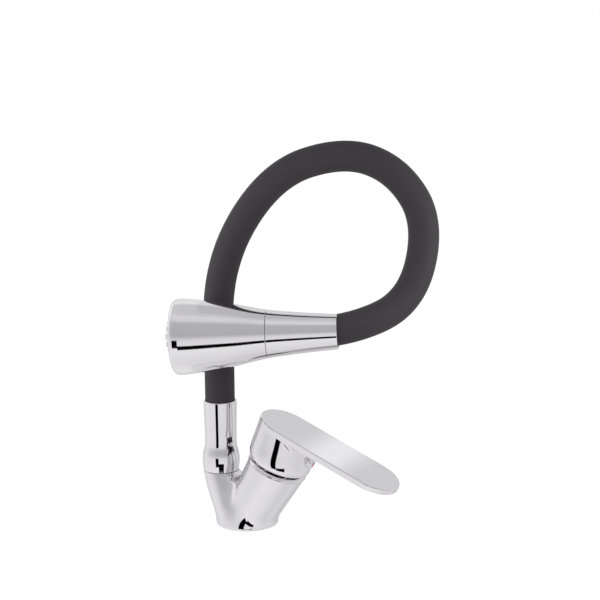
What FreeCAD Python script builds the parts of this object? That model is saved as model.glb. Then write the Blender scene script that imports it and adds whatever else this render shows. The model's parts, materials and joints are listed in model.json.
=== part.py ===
"""Flexible kitchen tap, in millimetres.

Z is up and the origin is the centre of the base's foot, on the deck.
X runs from the neck towards the lever's tip, in the plane that both stand in.
"""
import FreeCAD, Part
import math
import os
from FreeCAD import Vector

os.makedirs("parts", exist_ok=True)

# Fits and gaps
SLIP = 0.1            # radial clearance of pieces that slide or turn in a bore
SNUG = 0.05           # radial clearance of pieces that are pressed or screwed together
END_GAP = 0.2         # gap past the end of a piece in its socket
PAST = 1.0            # how far a cut runs past the face that it opens
BALL_GAP = 0.3        # gap between the ball end and the cup end of two arm links

# Body casting
BASE_R = 24.0         # round foot, covers a 35 mm deck hole
FOOT_H = 1.5
FOOT_EDGE = 0.8
FOOT_LAP = 0.5        # the lobes start this far down inside the foot
LOBE_INSET = 0.3      # the lobes stay this far inside the foot's rim
WEB_INSET = 0.2       # the flow between the lobes stays this far inside the neck lobe
HOUSING_INSET = 0.1
NECK_X = -24.6        # the spout turns about this upright axis
NECK_SEAT_Z = 43.2
NECK_SEAT_R = 15.1
NECK_SWELL = 2.0      # how far the neck lobe leans out past a straight cone
WEB_TOP_Z = 38.0      # where the hollow between the lobes starts
WEB_FOOT_Z = 8.0
WEB_STEPS = 5
NECK_STEPS = 4
WEB_FOOT_HOLLOW = 60.0   # radius of the hollow between the lobes at its foot
WEB_TOP_HOLLOW = 14.0

# Cartridge axis: leans from the deck towards the lever
CART_FOOT_X = 7.0
CART_LEAN = 23.1      # degrees from upright
HOUSING_R = 24.8
HOUSING_TOP = 56.0    # distances along the cartridge axis from the deck
POCKET_FLOOR = 22.0
POCKET_R = 17.6       # a 35 mm cartridge
NUT_SEAT = 44.0
NUT_BORE_R = 19.5
NUT_H = 9.5
NUT_MOUTH_R = 13.0
NUT_SLOT = 3.0        # width and depth of the key slots
PORT_R = 2.8
PORT_DEPTH = 5.0      # below the pocket's floor
INLET_PORT = (2.5, 5.5)   # forward and sideways place of the two inlet ports
OUTLET_PORT = -7.0
INLET_PASSAGE_R = 2.8
OUTLET_PASSAGE_R = 3.2
PASSAGE_DEPTH = 3.5   # the passages meet the ports this far below the pocket's floor

# Holes in the foot
STUD_X = -9.0
STUD_HOLE_R = 3.4
STUD_DEPTH = 12.0
SUPPLY_X = 5.0
SUPPLY_Y = 7.5
SUPPLY_HOLE_R = 4.5
SUPPLY_DEPTH = 11.0
BASE_SEAL_R = 21.6
BASE_SEAL_WIDTH = 2.4
BASE_SEAL_BORE_R = BASE_SEAL_R - BASE_SEAL_WIDTH
BASE_SEAL_H = 2.0

# Cartridge pieces
SEAL_R = 4.4
SEAL_H = 1.2
CART_BASE_H = 4.6
DISC_SEAT_DEPTH = 1.8
FIXED_DISC_R = 13.0
FIXED_DISC_H = 3.0
MOVING_DISC_R = 11.2
MOVING_DISC_H = 3.0
CHAMBER_R = 5.8
CHAMBER_X = -4.6
CHAMBER_DEPTH = 1.8
CARRIER_H = 4.8
SHELL_WALL = 2.5
SHELL_TOP_H = 2.0
SHELL_MOUTH_R = 9.5
PIVOT = 39.0          # the spindle tilts about a pin here
PIN_R = 1.5
PIN_LENGTH = 26.0
BALL_BELOW = 5.2      # the spindle's ball lies this far below the pin
BALL_LEAD_IN = 1.0    # the carrier's socket widens by this above the ball's middle
LAPPED = 0.02         # gap between the two discs
SPINDLE_BALL_R = 2.4
SPINDLE_NECK_R = 1.7
SPINDLE_SIDE = 8.0
SPINDLE_TOP = 83.0
SPINDLE_FOOT = 1.4    # the square starts this far below the pin
GUIDE_SLOT = 12.4
GUIDE_SIDE_GAP = 0.3

# Cover ring and lever
RING_R = 25.4
RING_MOUTH_R = 17.5
RING_H = 5.0
RING_SKIRT_GAP = 0.3
# Inset of the ring's skin, at shares of its height
RING_DOME = ((0.3, 0.0), (0.0, 0.16), (0.4, 0.4), (1.8, 0.68), (4.2, 0.94), (6.0, 1.0))
RIM_GAP = 1.3         # between the cover ring and the lever's rim
RIM_R = 26.5
CAP_WALL = 2.2
CAP_INSET = 0.1       # the cap's top stays this far inside the blade
CAP_LAP = 0.5         # and reaches this far into it
CAP_ROOF = 2.0        # solid left between the cap's hollow and the blade
BLADE_TOP = 95.1
BLADE_T = 5.0
BLADE_R = 23.7
BLADE_REAR = -5.1     # centre of the blade's rear round, forward of the cartridge axis
BLADE_RUN = 82.0      # between the centres of its two rounds
BLADE_EDGE = 0.9
BOSS_R = 7.0
BOSS_FOOT = 64.5
SCREW_S = 75.0        # grub screw and index plug, up the cartridge axis
SCREW_R = 2.5
SCREW_LENGTH = 10.0
SCREW_SOCKET_R = 1.25
SCREW_SOCKET_DEPTH = 4.0
SCREW_BOSS_WALL = 1.2
PLUG_R = 4.2
PLUG_SHANK_GAP = 0.3
PLUG_SEAT_X = 20.0
PLUG_END_X = 28.2
PLUG_EDGE = 0.8
MARK_R = 2.2
MARK_T = 0.5

# Spout spigot and turning collar
SPIGOT_FOOT_Z = 30.0
SOCKET_ROOM = 2.0     # left below the spigot's foot
SPIGOT_THREAD_R = 8.9
SPIGOT_R = 9.0
SPIGOT_BORE_R = 5.0
SPIGOT_TOP_Z = 70.0
SPIGOT_FLANGE_R = 11.0
SPIGOT_FLANGE_H = 2.3
ORING_T = 2.1
ORING_SQUEEZE = 0.05
ORING_Z = (52.0, 63.0)
GROOVE_FLOOR_R = 7.4
COLLAR_GAP = 0.4
COLLAR_TOP_Z = 103.3
COLLAR_BORE_R = 9.6
COLLAR_PROFILE = ((15.1, 0.0), (15.6, 5.0), (15.75, 9.5), (15.45, 13.5), (14.5, 17.5),
                  (13.65, 21.5), (13.45, 25.5), (13.6, 38.0), (13.85, 50.0), (14.05, 58.0))
COLLAR_EDGE = 0.7
GLIDE_H = 3.0
GLIDE_R = 11.2
GLIDE_GAP = 0.4       # between the lower glide ring and the spigot's flange
GLIDE_INSET = 1.0     # between the upper glide ring and the spigot's end
COLLAR_SCREW_Z = 58.0
COLLAR_SCREW_R = 2.0
COLLAR_SCREW_LENGTH = 7.2
COLLAR_SCREW_TIP = 0.3    # gap between its tip and the groove's floor
COLLAR_SOCKET_R = 1.0
COLLAR_SOCKET_DEPTH = 2.5
GROOVE_ROOM = 0.25    # groove left on each side of a ring

# Flexible arm
ARM_FOOT_Z = 88.0
ARM_R = 12.5
SLEEVE_BORE_R = 9.3
CORE_R = 9.1
CORE_BORE_R = 7.5
TUBE_R = 6.4
TUBE_BORE_R = 4.2
CORE_FOOT_Z = 82.0
TUBE_FOOT_Z = 78.0
FERRULE_FOOT_Z = 70.6
FERRULE_BORE_R = 4.5
LOOP_TURN = 27.0      # degrees from X to the loop's own plane, about the neck
FIRST_HINGE_Z = 150.0
# Corner points of the arm's route: reach from the neck, forward of the loop's plane, height
ARM_POINTS = ((0.0, 0.0, 219.0), (45.0, 4.5, 292.0), (105.0, 10.0, 311.0), (147.0, 16.5, 295.5),
              (172.5, 23.5, 254.0), (158.0, 35.0, 191.5))
ARC_SHARE = 0.45      # share of the shorter run that each arc takes

# Spray head, in distances from its rear rim along its own axis
HEAD_REAR = (97.5, 59.0, 171.8)
HEAD_YAW = 5.5        # degrees that the mouth turns back from the loop's plane
HEAD_DIP = 2.4
HEAD_LEAD = 9.0       # the arm's last corner lies this far behind the rear rim
HEAD_GRIP = 22.0      # the arm's last run aims at this depth
SLEEVE_DEPTH = 12.0
SLEEVE_BORE_PAST = 4.5    # the head's bore runs on past the sleeve's end
HEAD_LENGTH = 131.0
SEAM = 55.5
SEAM_GAP = 0.3
MOUTH_R = 30.5
MOUTH_BAND = 7.0      # straight band behind the mouth's lip
MOUTH_ROUND = 4.5
LIP_LAND = 0.5        # flat between the lip's round and the face
HEAD_WALL = 1.8
HEAD_BORE_R = 13.0
FACE_R = MOUTH_R - MOUTH_ROUND - LIP_LAND - SLIP
FACE_T = 6.0
# Radius of each shell's skin, at shares of its length from the rear to the mouth
REAR_FLARE = ((14.0, 0.0), (15.0, 0.252), (16.2, 0.504), (17.6, 0.757), (19.25, 1.0))
FRONT_FLARE = ((19.35, 0.0), (21.3, 0.15), (24.0, 0.326), (27.6, 0.648), (29.8, 0.883), (MOUTH_R, 1.0))
DOME_R = 21.0         # the face is a shallow dome this wide
DOME_H = 6.2
JET_RING_R = (13.2, 16.2, 19.2)
JET_COUNT = (12, 16, 20)
JET_R = 0.8
JET_H = 0.5
JET_ROOT = 1.0        # each nozzle is rooted this deep in the face
AERATOR_R = 10.5
AERATOR_MOUTH_R = 8.0
AERATOR_DEPTH = 3.0
AERATOR_GRID_R = 7.0
AERATOR_GRID_T = 1.5
GRID_HOLE_R = 0.8
GRID_PITCH = 2.4
GRID_REACH = 2.7      # holes lie within this many pitches of the middle
WATERWAY_R = 9.5
WATERWAY_BORE_R = 6.2
WATERWAY_FOOT = 40.0
WATERWAY_FLANGE = 3.2
FLANGE_GAP = 0.8      # between the waterway's flange and the rear shell
WASHER_T = 2.15
RUN_OUT = 0.5         # clearance of the turning front shell round the waterway
TURN_COLLAR = 3.0     # length of the front shell's collar that turns on the waterway
CLIP_T = 1.2
CLIP_REACH = 2.5
CLIP_DEPTH = 1.0      # depth of the waterway's groove for the clip
HEAD_RING_T = 2.1
HEAD_RING_GROOVE = 2.4
HEAD_RING_DEPTH = 1.5
HEAD_RING_LAND = 0.8
CHAMBER_H = 8.0       # from the mode disc's foot to the face
MODE_DISC_T = 2.5
MODE_DISC_RIM = 3.0
VALVE_H = 11.0
VALVE_SEAT = 4.0      # above the waterway's foot
VALVE_FLOOR = 4.0
VALVE_R = 4.6
VALVE_BORE_R = 2.6
NUT_R = 12.0
NUT_ENGAGE = 10.0     # how far the coupling nut holds the waterway
GRIP_STEP = 4.0       # sleeve, core and water tube each end this much deeper in the head
GRIP_RIM = 0.8        # ferrule left past the end of the water tube
END_FERRULE_TOP = 36.0
END_FERRULE_WALL = 1.0


def unit(vector):
    """Vector of length one."""
    return vector * (1.0 / vector.Length)


def frame(origin, z_axis, x_axis):
    """Placement with Z along z_axis and X as near x_axis as it goes."""
    z = unit(z_axis)
    x = unit(x_axis - z * z.dot(x_axis))
    y = z.cross(x)
    return FreeCAD.Placement(FreeCAD.Matrix(x.x, y.x, z.x, origin.x, x.y, y.y, z.y, origin.y,
                                            x.z, y.z, z.z, origin.z, 0, 0, 0, 1))


def upright(shape):
    """The same solid with its faces pointing out."""
    return shape.reversed() if shape.Volume < 0 else shape


def moved(shape, place):
    """Copy of a shape in another frame."""
    copy = shape.copy()
    copy.Placement = place.multiply(copy.Placement)
    return copy


def turned(points, place):
    """Ring or disc turned about Z from a closed outline of (radius, height) corners."""
    corners = [Vector(r, 0, h) for r, h in points]
    face = Part.Face(Part.makePolygon(corners + corners[:1]))
    return moved(upright(face.revolve(Vector(0, 0, 0), Vector(0, 0, 1), 360)), place)


def turned_smooth(curve_points, corner_points, place):
    """As turned, with one smooth outer curve and straight lines back to its start."""
    curve = Part.BSplineCurve()
    curve.interpolate([Vector(r, 0, h) for r, h in curve_points])
    corners = [curve_points[-1]] + list(corner_points) + [curve_points[0]]
    lines = [Part.makeLine(Vector(a[0], 0, a[1]), Vector(b[0], 0, b[1]))
             for a, b in zip(corners, corners[1:])]
    face = Part.Face(Part.Wire([curve.toShape()] + lines))
    return moved(upright(face.revolve(Vector(0, 0, 0), Vector(0, 0, 1), 360)), place)


def rod(radius, low, high, place, x=0.0, y=0.0):
    """Cylinder along Z of a frame."""
    return moved(Part.makeCylinder(radius, high - low, Vector(x, y, low)), place)


def cross_rod(radius, low, high, height, place, along):
    """Cylinder across a frame, along its X or Y."""
    axis = Vector(1, 0, 0) if along == "x" else Vector(0, 1, 0)
    return moved(Part.makeCylinder(radius, high - low, axis * low + Vector(0, 0, height), axis), place)


def block(size_x, size_y, low, high, place):
    """Box centred on Z of a frame."""
    return moved(Part.makeBox(size_x, size_y, high - low, Vector(-size_x / 2, -size_y / 2, low)), place)


def drill(start, end, radius):
    """Cylinder between two points."""
    return Part.makeCylinder(radius, (end - start).Length, start, end - start)


def save(name, shape):
    """Write one node's STEP file."""
    clean = shape.removeSplitter()
    clean.exportStep("parts/" + name + ".step")
    print(name, "solids", len(clean.Solids), "volume %.1f" % clean.Volume, "valid", clean.isValid())


# Frames
FORWARD = Vector(math.cos(math.radians(CART_LEAN)), 0, -math.sin(math.radians(CART_LEAN)))
CART_AXIS = Vector(math.sin(math.radians(CART_LEAN)), 0, math.cos(math.radians(CART_LEAN)))
CART = frame(Vector(CART_FOOT_X, 0, 0), CART_AXIS, FORWARD)
NECK = frame(Vector(NECK_X, 0, 0), Vector(0, 0, 1), Vector(1, 0, 0))
LOOP_REACH = Vector(math.cos(math.radians(LOOP_TURN)), math.sin(math.radians(LOOP_TURN)), 0)
LOOP_FRONT = Vector(math.sin(math.radians(LOOP_TURN)), -math.cos(math.radians(LOOP_TURN)), 0)
BACK_OF_NECK = frame(Vector(NECK_X, 0, 0), Vector(0, 0, 1), LOOP_FRONT * -1)


def in_loop(reach, front, height):
    """Point given in the loop's own plane, about the neck."""
    return Vector(NECK_X, 0, 0) + LOOP_REACH * reach + LOOP_FRONT * front + Vector(0, 0, height)


HEAD_AXIS = (LOOP_REACH * (-math.cos(math.radians(HEAD_YAW)) * math.cos(math.radians(HEAD_DIP)))
             - LOOP_FRONT * (math.sin(math.radians(HEAD_YAW)) * math.cos(math.radians(HEAD_DIP)))
             - Vector(0, 0, math.sin(math.radians(HEAD_DIP))))
HEAD = frame(in_loop(*HEAD_REAR), HEAD_AXIS, Vector(0, 0, 1))


def neck_circle(height):
    """Centre and radius of the neck lobe's level section at a height."""
    t = (height - FOOT_H) / (NECK_SEAT_Z - FOOT_H)
    x = NECK_X * t - NECK_SWELL * 4 * t * (1 - t)
    foot_r = BASE_R - LOBE_INSET
    return x, foot_r + (NECK_SEAT_R - foot_r) * t


def housing_circle(height):
    """Centre and radius of the widest level circle inside the housing lobe at a height."""
    top = CART.multVec(Vector(0, 0, HOUSING_TOP))
    t = (height - FOOT_H) / (top.z - FOOT_H)
    return top.x * t, min(BASE_R, HOUSING_R) - LOBE_INSET


def waisted_section(height, hollow):
    """Closed outline round both lobes at a height, drawn in between them by two hollows."""
    ax, ar = neck_circle(height)
    bx, br = housing_circle(height)
    ar -= WEB_INSET
    gap = bx - ax
    fx = ax + ((ar + hollow) ** 2 - (br + hollow) ** 2 + gap ** 2) / (2 * gap)
    fy = math.sqrt((ar + hollow) ** 2 - (fx - ax) ** 2)
    share_a = ar / (ar + hollow)
    share_b = br / (br + hollow)
    left = Vector(ax + (fx - ax) * share_a, fy * share_a, height)
    right = Vector(bx + (fx - bx) * share_b, fy * share_b, height)
    mirror_left = Vector(left.x, -left.y, height)
    mirror_right = Vector(right.x, -right.y, height)
    centre = Vector(fx, fy, height)
    waist = centre + unit((left + right) * 0.5 - centre) * hollow
    mirror_waist = Vector(waist.x, -waist.y, height)
    arcs = ((mirror_left, Vector(ax - ar, 0, height), left), (left, waist, right),
            (right, Vector(bx + br, 0, height), mirror_right), (mirror_right, mirror_waist, mirror_left))
    return Part.Wire([Part.Arc(a, b, c).toShape() for a, b, c in arcs])


def body_form():
    """Outside of the body casting, before it is bored."""
    foot = Part.makeCylinder(BASE_R, FOOT_H + FOOT_LAP)
    foot = foot.makeFillet(FOOT_EDGE, [e for e in foot.Edges if e.BoundBox.ZMax < 0.01])
    level = Vector(0, 0, 1)
    neck_wires = []
    for step in range(NECK_STEPS + 1):
        height = FOOT_H + (NECK_SEAT_Z - FOOT_H) * step / NECK_STEPS
        x, r = neck_circle(height)
        neck_wires.append(Part.Wire(Part.makeCircle(r, Vector(x, 0, height), level)))
    neck = Part.makeLoft(neck_wires, True, False)
    housing = Part.makeLoft([
        Part.Wire(Part.makeCircle(BASE_R - HOUSING_INSET, Vector(0, 0, FOOT_H), level)),
        Part.Wire(Part.makeCircle(HOUSING_R, CART.multVec(Vector(0, 0, HOUSING_TOP)), CART_AXIS))], True, True)
    web_wires = []
    for step in range(WEB_STEPS + 1):
        t = step / WEB_STEPS
        hollow = WEB_FOOT_HOLLOW * (WEB_TOP_HOLLOW / WEB_FOOT_HOLLOW) ** t
        web_wires.append(waisted_section(WEB_FOOT_Z + (WEB_TOP_Z - WEB_FOOT_Z) * t, hollow))
    web = Part.makeLoft(web_wires, True, True)
    return upright(foot).fuse([upright(neck), upright(housing), upright(web)])


def body_casting():
    """Two-lobed casting with its cartridge pocket, spigot socket, waterways and deck holes."""
    floor = CART.multVec(Vector(0, 0, POCKET_FLOOR))
    outlet = CART.multVec(Vector(OUTLET_PORT, 0, POCKET_FLOOR - PASSAGE_DEPTH))
    socket_foot = SPIGOT_FOOT_Z - SOCKET_ROOM
    cuts = [rod(POCKET_R, POCKET_FLOOR, HOUSING_TOP + PAST, CART),
            rod(NUT_BORE_R, NUT_SEAT, HOUSING_TOP + PAST, CART),
            rod(SPIGOT_THREAD_R, socket_foot, NECK_SEAT_Z + PAST, NECK),
            rod(PORT_R, POCKET_FLOOR - PORT_DEPTH, POCKET_FLOOR + PAST, CART, x=OUTLET_PORT),
            drill(outlet, Vector(NECK_X, 0, socket_foot), OUTLET_PASSAGE_R),
            Part.makeCylinder(STUD_HOLE_R, STUD_DEPTH, Vector(STUD_X, 0, 0)),
            turned(((BASE_SEAL_BORE_R - SLIP, -PAST), (BASE_SEAL_R + SLIP, -PAST),
                    (BASE_SEAL_R + SLIP, BASE_SEAL_H), (BASE_SEAL_BORE_R - SLIP, BASE_SEAL_H)),
                   FreeCAD.Placement())]
    for side in (-1, 1):
        port = CART.multVec(Vector(INLET_PORT[0], side * INLET_PORT[1], POCKET_FLOOR - PASSAGE_DEPTH))
        supply = Vector(SUPPLY_X, side * SUPPLY_Y, SUPPLY_DEPTH)
        cuts.append(Part.makeCylinder(SUPPLY_HOLE_R, SUPPLY_DEPTH, Vector(SUPPLY_X, side * SUPPLY_Y, 0)))
        cuts.append(drill(supply - Vector(0, 0, PAST), port, INLET_PASSAGE_R))
        cuts.append(rod(PORT_R, POCKET_FLOOR - PORT_DEPTH, POCKET_FLOOR + PAST, CART,
                        x=INLET_PORT[0], y=side * INLET_PORT[1]))
    return body_form().cut(cuts)


def base_seal():
    """Flat rubber ring under the foot."""
    return turned(((BASE_SEAL_BORE_R, 0), (BASE_SEAL_R, 0), (BASE_SEAL_R, BASE_SEAL_H - SLIP),
                   (BASE_SEAL_BORE_R, BASE_SEAL_H - SLIP)), FreeCAD.Placement())


# Stack of the cartridge along its axis
CART_BASE_S = POCKET_FLOOR + END_GAP
FIXED_S = CART_BASE_S + CART_BASE_H - DISC_SEAT_DEPTH
MOVING_S = FIXED_S + FIXED_DISC_H
CARRIER_S = MOVING_S + MOVING_DISC_H
GUIDE_S = CARRIER_S + CARRIER_H + END_GAP
SHELL_S = CART_BASE_S + CART_BASE_H
SHELL_TOP = NUT_SEAT
GUIDE_TOP = SHELL_TOP - SHELL_TOP_H - END_GAP
SHELL_R = POCKET_R - SLIP
SHELL_BORE_R = SHELL_R - SHELL_WALL
PORTS = ((OUTLET_PORT, 0.0), (INLET_PORT[0], INLET_PORT[1]), (INLET_PORT[0], -INLET_PORT[1]))


def cartridge_pieces():
    """Pieces of the ceramic cartridge, by name."""
    base = rod(SHELL_R, CART_BASE_S, CART_BASE_S + CART_BASE_H, CART)
    seal_top = POCKET_FLOOR + SEAL_H
    low = POCKET_FLOOR - PAST
    base = base.cut([rod(FIXED_DISC_R + SLIP, FIXED_S, SHELL_S + PAST, CART)]
                    + [rod(PORT_R, low, FIXED_S + PAST, CART, x, y) for x, y in PORTS]
                    + [rod(SEAL_R + SNUG, low, seal_top, CART, x, y) for x, y in PORTS])
    seals = Part.makeCompound([rod(SEAL_R, POCKET_FLOOR, seal_top, CART, x, y).cut(
        rod(PORT_R + SLIP, low, seal_top + PAST, CART, x, y)) for x, y in PORTS])
    fixed = rod(FIXED_DISC_R, FIXED_S, MOVING_S - LAPPED, CART).cut(
        [rod(PORT_R, FIXED_S - PAST, MOVING_S + PAST, CART, x, y) for x, y in PORTS])
    moving = rod(MOVING_DISC_R, MOVING_S, CARRIER_S, CART).cut(
        rod(CHAMBER_R, MOVING_S - PAST, MOVING_S + CHAMBER_DEPTH, CART, CHAMBER_X))
    ball_s = PIVOT - BALL_BELOW
    carrier = rod(MOVING_DISC_R, CARRIER_S + SNUG / 2, CARRIER_S + CARRIER_H, CART).cut([
        rod(SPINDLE_BALL_R + SLIP, ball_s - SPINDLE_BALL_R - SLIP, GUIDE_S, CART),
        rod(SPINDLE_BALL_R + BALL_LEAD_IN, ball_s + BALL_LEAD_IN, GUIDE_S, CART)])
    shell = turned(((SHELL_BORE_R, SHELL_S + SNUG), (SHELL_R, SHELL_S + SNUG), (SHELL_R, SHELL_TOP),
                    (SHELL_MOUTH_R, SHELL_TOP), (SHELL_MOUTH_R, SHELL_TOP - SHELL_TOP_H),
                    (SHELL_BORE_R, SHELL_TOP - SHELL_TOP_H)), CART)
    guide = rod(SHELL_BORE_R - SLIP, GUIDE_S, GUIDE_TOP, CART).cut([
        block(GUIDE_SLOT, SPINDLE_SIDE + GUIDE_SIDE_GAP, GUIDE_S - PAST, GUIDE_TOP + PAST, CART),
        cross_rod(PIN_R + SNUG, -SHELL_R, SHELL_R, PIVOT, CART, "y")])
    pin = cross_rod(PIN_R, -PIN_LENGTH / 2, PIN_LENGTH / 2, PIVOT, CART, "y")
    ball = moved(Part.makeSphere(SPINDLE_BALL_R, Vector(0, 0, ball_s)), CART)
    spindle = ball.fuse([rod(SPINDLE_NECK_R, ball_s, PIVOT, CART),
                         block(SPINDLE_SIDE, SPINDLE_SIDE, PIVOT - SPINDLE_FOOT, SPINDLE_TOP, CART)])
    spindle = spindle.cut(cross_rod(PIN_R + SNUG, -SHELL_R, SHELL_R, PIVOT, CART, "y"))
    nut_top = NUT_SEAT + NUT_H
    nut = turned(((NUT_MOUTH_R, NUT_SEAT + SNUG), (NUT_BORE_R - SLIP, NUT_SEAT + SNUG),
                  (NUT_BORE_R - SLIP, nut_top), (NUT_MOUTH_R, nut_top)), CART)
    slots = []
    for turn in (0, 60, 120):
        place = CART.multiply(FreeCAD.Placement(Vector(0, 0, 0), FreeCAD.Rotation(Vector(0, 0, 1), turn)))
        slots.append(block(NUT_SLOT, 2 * NUT_BORE_R, nut_top - NUT_SLOT, nut_top + PAST, place))
    return {"cartridge_base": base, "cartridge_seals": seals, "fixed_disc": fixed, "moving_disc": moving,
            "disc_carrier": carrier, "cartridge_shell": shell, "swing_guide": guide, "spindle_pin": pin,
            "lever_spindle": spindle, "cartridge_nut": nut.cut(slots)}


RING_TOP = HOUSING_TOP + RING_H
RIM_S = RING_TOP + RIM_GAP


def cover_ring():
    """Domed ring that closes the housing round the spindle."""
    skirt_foot = NUT_SEAT + NUT_H + RING_SKIRT_GAP
    low = HOUSING_TOP + SNUG
    skirt = ((RING_MOUTH_R, skirt_foot), (NUT_BORE_R - SLIP, skirt_foot), (NUT_BORE_R - SLIP, low))
    dome = tuple((RING_R - inset, low + (RING_TOP - low) * share) for inset, share in RING_DOME)
    return turned(skirt + dome + ((RING_MOUTH_R, RING_TOP),), CART)


def stadium(radius, low, high):
    """Long flat form with two round ends, in the cartridge frame."""
    rear = Vector(BLADE_REAR, 0, low)
    front = Vector(BLADE_REAR + BLADE_RUN, 0, low)
    side = Vector(0, radius, 0)
    end = Vector(radius, 0, 0)
    wire = Part.Wire([Part.Arc(rear + side, rear - end, rear - side).toShape(),
                      Part.makeLine(rear - side, front - side),
                      Part.Arc(front - side, front + end, front + side).toShape(),
                      Part.makeLine(front + side, rear + side)])
    return Part.Face(wire).extrude(Vector(0, 0, high - low))


def cap_cone(inset, low, high):
    """Leaning cone of the lever's cap, drawn in by a wall, between two heights."""
    up = Vector(0, 0, 1)
    foot = Part.Wire(Part.makeCircle(RIM_R - inset, Vector(0, 0, low), up))
    head = Part.Wire(Part.makeCircle(BLADE_R - inset, Vector(BLADE_REAR, 0, high), up))
    return upright(Part.makeLoft([foot, head], True, True))


def lever_handle():
    """Cap and blade in one casting, hollow over the cartridge, with a boss for the spindle."""
    blade = stadium(BLADE_R, BLADE_TOP - BLADE_T, BLADE_TOP)
    rims = [e for e in blade.Edges if abs(e.BoundBox.ZMax - e.BoundBox.ZMin) < 0.01]
    blade = blade.makeFillet(BLADE_EDGE, rims)
    blade_foot = BLADE_TOP - BLADE_T
    cap = cap_cone(CAP_INSET, RIM_S, blade_foot + CAP_LAP)
    hollow = cap_cone(CAP_WALL, RIM_S, blade_foot - CAP_ROOF)
    boss = Part.makeCylinder(BOSS_R, blade_foot - BOSS_FOOT, Vector(0, 0, BOSS_FOOT))
    ahead = Vector(1, 0, 0)
    screw_boss = Part.makeCylinder(PLUG_R + SCREW_BOSS_WALL, PLUG_SEAT_X, Vector(0, 0, SCREW_S), ahead)
    shell = blade.fuse(cap).cut(hollow).fuse([boss, screw_boss])
    side = SPINDLE_SIDE + 2 * SNUG
    shell = shell.cut([Part.makeBox(side, side, SPINDLE_TOP + PAST - BOSS_FOOT + PAST,
                                    Vector(-side / 2, -side / 2, BOSS_FOOT - PAST)),
                       Part.makeCylinder(SCREW_R + SNUG, PLUG_SEAT_X + PAST, Vector(0, 0, SCREW_S), ahead),
                       Part.makeCylinder(PLUG_R + SNUG, RIM_R, Vector(PLUG_SEAT_X, 0, SCREW_S), ahead)])
    return moved(shell, CART)


def lever_fittings():
    """Grub screw, index plug and its two marks, by name."""
    face = PLUG_END_X
    screw_foot = SPINDLE_SIDE / 2 + SNUG
    screw = cross_rod(SCREW_R, screw_foot, screw_foot + SCREW_LENGTH, SCREW_S, CART, "x")
    screw_end = screw_foot + SCREW_LENGTH
    socket = cross_rod(SCREW_SOCKET_R, screw_end - SCREW_SOCKET_DEPTH, screw_end + PAST, SCREW_S, CART, "x")
    head = Part.makeCylinder(PLUG_R, face - PLUG_SEAT_X - SNUG, Vector(PLUG_SEAT_X + SNUG, 0, SCREW_S),
                             Vector(1, 0, 0))
    head = head.makeFillet(PLUG_EDGE, [e for e in head.Edges if e.BoundBox.XMin > face - 0.01])
    shank_foot = screw_end + PLUG_SHANK_GAP
    shank = Part.makeCylinder(SCREW_R, PLUG_SEAT_X + PAST - shank_foot, Vector(shank_foot, 0, SCREW_S),
                              Vector(1, 0, 0))
    marks = Part.makeCylinder(MARK_R, MARK_T, Vector(face - MARK_T, 0, SCREW_S), Vector(1, 0, 0))
    plug = moved(head.fuse(shank).cut(marks), CART)
    corner = Vector(face - 2 * MARK_T, SNUG, SCREW_S - 2 * MARK_R)
    half = Part.makeBox(4 * MARK_T, 2 * MARK_R, 4 * MARK_R, corner)
    cold = moved(marks.common(half), CART)
    hot = moved(marks.common(half.mirror(Vector(0, 0, 0), Vector(0, 1, 0))), CART)
    return {"handle_screw": screw.cut(socket), "index_plug": plug, "hot_mark": hot, "cold_mark": cold}


def spout_spigot():
    """Brass spigot screwed into the neck lobe, with grooves for its rings and the collar's screw."""
    half = ORING_T / 2 + GROOVE_ROOM
    outline = [(SPIGOT_BORE_R, SPIGOT_FOOT_Z), (SPIGOT_THREAD_R - SNUG, SPIGOT_FOOT_Z),
               (SPIGOT_THREAD_R - SNUG, NECK_SEAT_Z), (SPIGOT_FLANGE_R, NECK_SEAT_Z),
               (SPIGOT_FLANGE_R, NECK_SEAT_Z + SPIGOT_FLANGE_H), (SPIGOT_R, NECK_SEAT_Z + SPIGOT_FLANGE_H)]
    screw_half = COLLAR_SCREW_R + COLLAR_SCREW_TIP
    for middle, reach in ((ORING_Z[0], half), (COLLAR_SCREW_Z, screw_half), (ORING_Z[1], half)):
        outline += [(SPIGOT_R, middle - reach), (GROOVE_FLOOR_R, middle - reach),
                    (GROOVE_FLOOR_R, middle + reach), (SPIGOT_R, middle + reach)]
    outline += [(SPIGOT_R, SPIGOT_TOP_Z), (SPIGOT_BORE_R, SPIGOT_TOP_Z)]
    return turned(outline, NECK)


def spigot_o_rings():
    """Two rubber rings in the spigot's grooves."""
    section = (COLLAR_BORE_R - ORING_SQUEEZE - GROOVE_FLOOR_R - ORING_SQUEEZE) / 2
    middle = GROOVE_FLOOR_R + ORING_SQUEEZE + section
    return Part.makeCompound([moved(Part.makeTorus(middle, section, Vector(0, 0, z)), NECK) for z in ORING_Z])


LOWER_GLIDE_Z = NECK_SEAT_Z + SPIGOT_FLANGE_H + GLIDE_GAP
UPPER_GLIDE_Z = SPIGOT_TOP_Z - GLIDE_INSET - GLIDE_H
ARM_SEAT_Z = ARM_FOOT_Z - END_GAP


def glide_rings():
    """Two plastic rings that guide the collar on the spigot."""
    rings = []
    for foot in (LOWER_GLIDE_Z, UPPER_GLIDE_Z):
        rings.append(turned(((SPIGOT_R + SLIP / 2, foot), (GLIDE_R, foot), (GLIDE_R, foot + GLIDE_H),
                             (SPIGOT_R + SLIP / 2, foot + GLIDE_H)), NECK))
    return Part.makeCompound(rings)


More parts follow.
